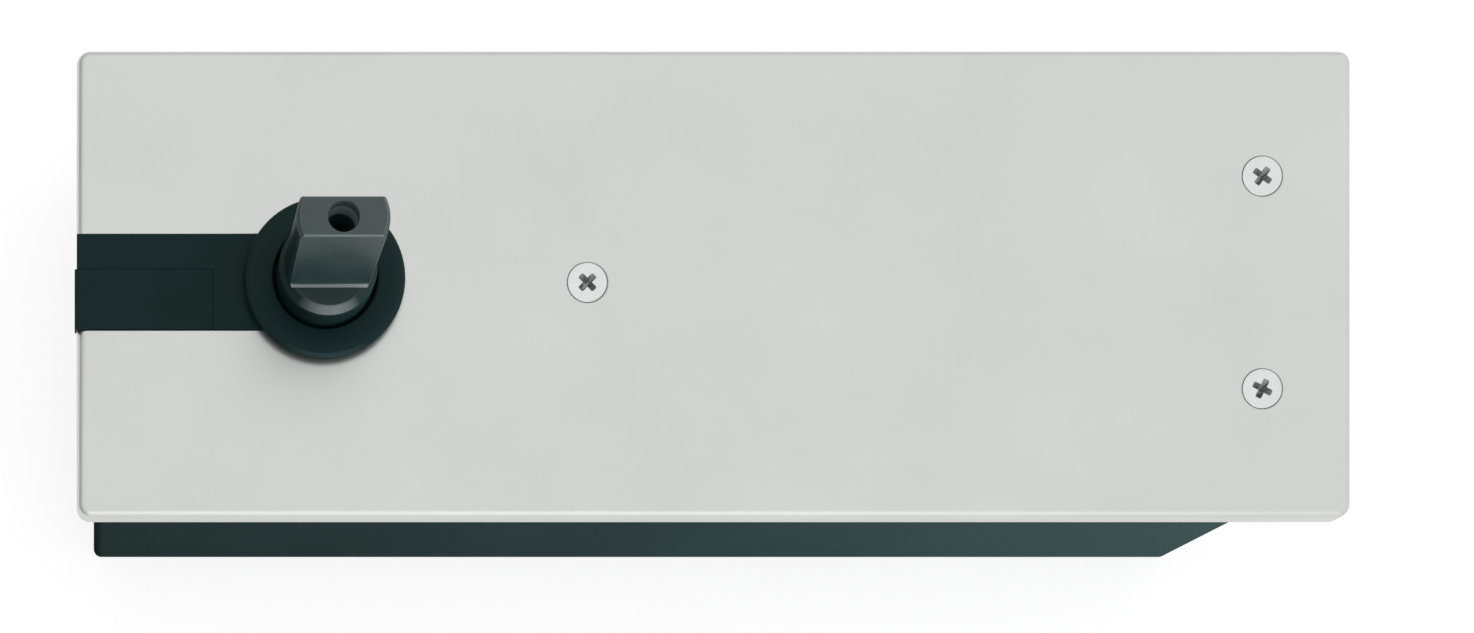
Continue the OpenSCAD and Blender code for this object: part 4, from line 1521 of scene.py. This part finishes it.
@dataclass
class Studio:
    """A pale floor, a sky that is brighter at the top and to the right, and two soft lamps."""

    floor_size: float = 6.0
    floor_grey: float = 0.55
    floor_white: float = 1.8
    shadow_share: float = 0.55
    sky_white: float = 1.0
    sky_light: float = 1.0
    sky_top: float = 1.03
    sky_side: float = 0.3
    light_side: float = 0.12
    light_start: float = 0.0
    shine_start: float = -0.3
    full_lean: float = 0.8
    lean_right: float = 0.35
    window_way: tuple[float, float, float] = (0.12, -0.9, 0.4)
    window_edge: Pair = (0.8, 0.96)
    window_glow: float = 0.55
    key_away: tuple[float, float, float] = (1.3, 0.3, 0.45)
    key_size: float = 0.7
    key_power: float = 4.0
    side_away: Pair = (0.1, -0.25)
    side_rise: float = 0.3
    side_size: float = 0.1
    side_power: float = 2.2

    def _floor(self) -> Collection:
        """Lays the floor under the object.

        Returns:
            A collection that keeps the lamps' light off the floor, so that the floor stays even.
        """
        half = self.floor_size / 2
        mesh = bpy.data.meshes.new("floor")
        corners = [(-half, -half, 0), (half, -half, 0), (half, half, 0), (-half, half, 0)]
        mesh.from_pydata(corners, [], [(0, 1, 2, 3)])
        floor = set_out("floor", mesh)
        material = bpy.data.materials.new("pale floor")
        material.use_nodes = True
        material.node_tree.nodes.clear()
        graph = Graph(material.node_tree)
        matt = graph.add("ShaderNodeBsdfDiffuse", Color=(self.floor_grey,) * 3 + (1,))
        glow = graph.add("ShaderNodeEmission", Color=(1, 1, 1, 1), Strength=self.floor_white)
        path = graph.add("ShaderNodeLightPath")
        seen = graph.calc("MAXIMUM", path.outputs["Is Camera Ray"], path.outputs["Is Glossy Ray"])
        seen = graph.calc("MAXIMUM", seen, path.outputs["Is Transmission Ray"])
        mix = graph.mix_shaders(graph.calc("MULTIPLY", seen, 1 - self.shadow_share), matt, glow)
        graph.add("ShaderNodeOutputMaterial", mix.outputs[0])
        mesh.materials.append(material)
        unlit = bpy.data.collections.new("lamps leave the floor")
        unlit.objects.link(floor)
        unlit.collection_objects[0].light_linking.link_state = "EXCLUDE"
        return unlit

    def _sky(self) -> None:
        """Sets the world: white to the eye, an even light, and darker sides in reflections."""
        world = bpy.data.worlds.new("studio")
        bpy.context.scene.world = world
        world.use_nodes = True
        world.node_tree.nodes.clear()
        graph = Graph(world.node_tree)
        path = graph.add("ShaderNodeLightPath")
        way = graph.add("ShaderNodeTexCoord").outputs["Generated"]
        parts = graph.add("ShaderNodeSeparateXYZ", way)
        lean = graph.calc("MULTIPLY", parts.outputs["X"], self.lean_right)
        lean = graph.calc("ADD", parts.outputs["Z"], lean)
        light = self._ramp(graph, lean, self.light_start, self.light_side, self.sky_light)
        shine = self._ramp(graph, lean, self.shine_start, self.sky_side, self.sky_top)
        shine = self._window(graph, way, shine)
        shown = graph.add("ShaderNodeBackground", Color=(1, 1, 1, 1), Strength=self.sky_white)
        mix = light
        for ray, seen in (("Glossy", shine), ("Transmission", shine), ("Camera", shown)):
            mix = graph.mix_shaders(path.outputs[f"Is {ray} Ray"], mix, seen)
        graph.add("ShaderNodeOutputWorld", mix.outputs[0])

    def _ramp(self, graph: Graph, lean: Socket, start: float, low: float, high: float) -> Node:
        """Adds a background that brightens from the left horizon to the top.

        Args:
            graph: The world's tree.
            lean: How far up, and to the right, a direction points.
            start: The lean at which the background starts to brighten.
            low: Its least strength.
            high: Its full strength.

        Returns:
            The background.
        """
        rise = graph.add(
            "ShaderNodeMapRange", lean, interpolation_type="SMOOTHSTEP", From_Min=start,
            From_Max=self.full_lean, To_Min=low, To_Max=high)
        return graph.add("ShaderNodeBackground", Color=(1, 1, 1, 1), Strength=rise.outputs[0])

    def _window(self, graph: Graph, way: Socket, sky: Node) -> Node:
        """Adds a soft bright window, low in front, to a background.

        Args:
            graph: The world's tree.
            way: The direction's socket.
            sky: The background.

        Returns:
            The sum of the two.
        """
        middle, (rim, full) = Vector(self.window_way).normalized(), self.window_edge
        near = graph.add("ShaderNodeVectorMath", way, middle, operation="DOT_PRODUCT")
        soft = graph.add(
            "ShaderNodeMapRange", near.outputs["Value"], interpolation_type="SMOOTHSTEP", From_Min=rim,
            From_Max=full, To_Min=0.0, To_Max=self.window_glow)
        glow = graph.add("ShaderNodeBackground", Color=(1, 1, 1, 1), Strength=soft.outputs[0])
        return graph.add("ShaderNodeAddShader", sky.outputs[0], glow.outputs[0])

    def _lamp(
        self, name: str, place: Vector, target: Vector, size: float, power: float, unlit: Collection
    ) -> None:
        """Hangs a square soft lamp, which reflections don't show.

        Args:
            name: The lamp's name.
            place: Where it hangs.
            target: What it points at.
            size: Its side in metres.
            power: Its power in watts.
            unlit: What it doesn't light.
        """
        data = bpy.data.lights.new(name, "AREA")
        data.size = size
        data.energy = power
        lamp = set_out(name, data)
        lamp.visible_camera = False
        lamp.visible_glossy = False
        lamp.light_linking.receiver_collection = unlit
        aim = (target - place).to_track_quat("-Z", "Y").to_matrix().to_4x4()
        lamp.matrix_world = Matrix.Translation(place) @ aim

    def build(self) -> None:
        """Sets up the floor, the sky and the lamps."""
        low, high = (Vector(corner) for corner in CAD_BOX)
        middle = (low + high) / 2
        unlit = self._floor()
        self._sky()
        key = middle + Vector(self.key_away)
        side = Vector((high.x + self.side_away[0], low.y + self.side_away[1], high.z * self.side_rise))
        self._lamp("key lamp", key, middle, self.key_size, self.key_power, unlit)
        self._lamp("side lamp", side, middle, self.side_size, self.side_power, unlit)


@dataclass
class ViewCamera:
    """The camera: it looks across, and its film lies level with the cover."""

    rise: float = 450 * MM
    eye_x: float = -151.6 * MM
    eye_y: float = -195.3 * MM
    aim_x: float = 5.1 * MM
    aim_y: float = -8.1 * MM
    field_width: float = 346.26 * MM
    sensor: float = 36.0

    def build(self) -> None:
        """Sets the camera on a rig that shears its view, so that the cover's sides stay square."""
        low, high = (Vector(corner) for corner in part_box("cover_plate"))
        centre = Vector(((low.x + high.x) / 2, (low.y + high.y) / 2, high.z))
        eye = centre + Vector((self.eye_x, self.eye_y, self.rise))
        aim = centre + Vector((self.aim_x, self.aim_y, 0))
        back = (eye - aim).normalized()
        data = bpy.data.cameras.new("camera")
        data.sensor_width = self.sensor
        data.lens = self.sensor * (eye - aim).length / self.field_width
        data.clip_start = 0.01
        camera = set_out("camera", data)
        camera.parent = set_out("camera_rig", None)
        columns = (Vector((1, 0, 0)), Vector((0, 1, 0)), back, eye)
        shear = [[column[row] for column in columns] for row in range(3)]
        camera.matrix_parent_inverse = Matrix(shear + [[0, 0, 0, 1]])
        bpy.context.scene.camera = camera


def main() -> None:
    """Builds the camera, the studio and every piece."""
    logging.basicConfig(level=logging.INFO, format="%(name)s: %(message)s")
    bpy.context.scene.view_settings.view_transform = "Standard"
    parts = (ViewCamera(), Studio(), CoverPlate(), CoverScrews(), SlotInsert(), Spindle(), FloorBox(),
             ClosingSpring(), BallRow(), CarriedSolids())
    for part in parts:
        part.build()


if __name__ == "__main__":
    main()
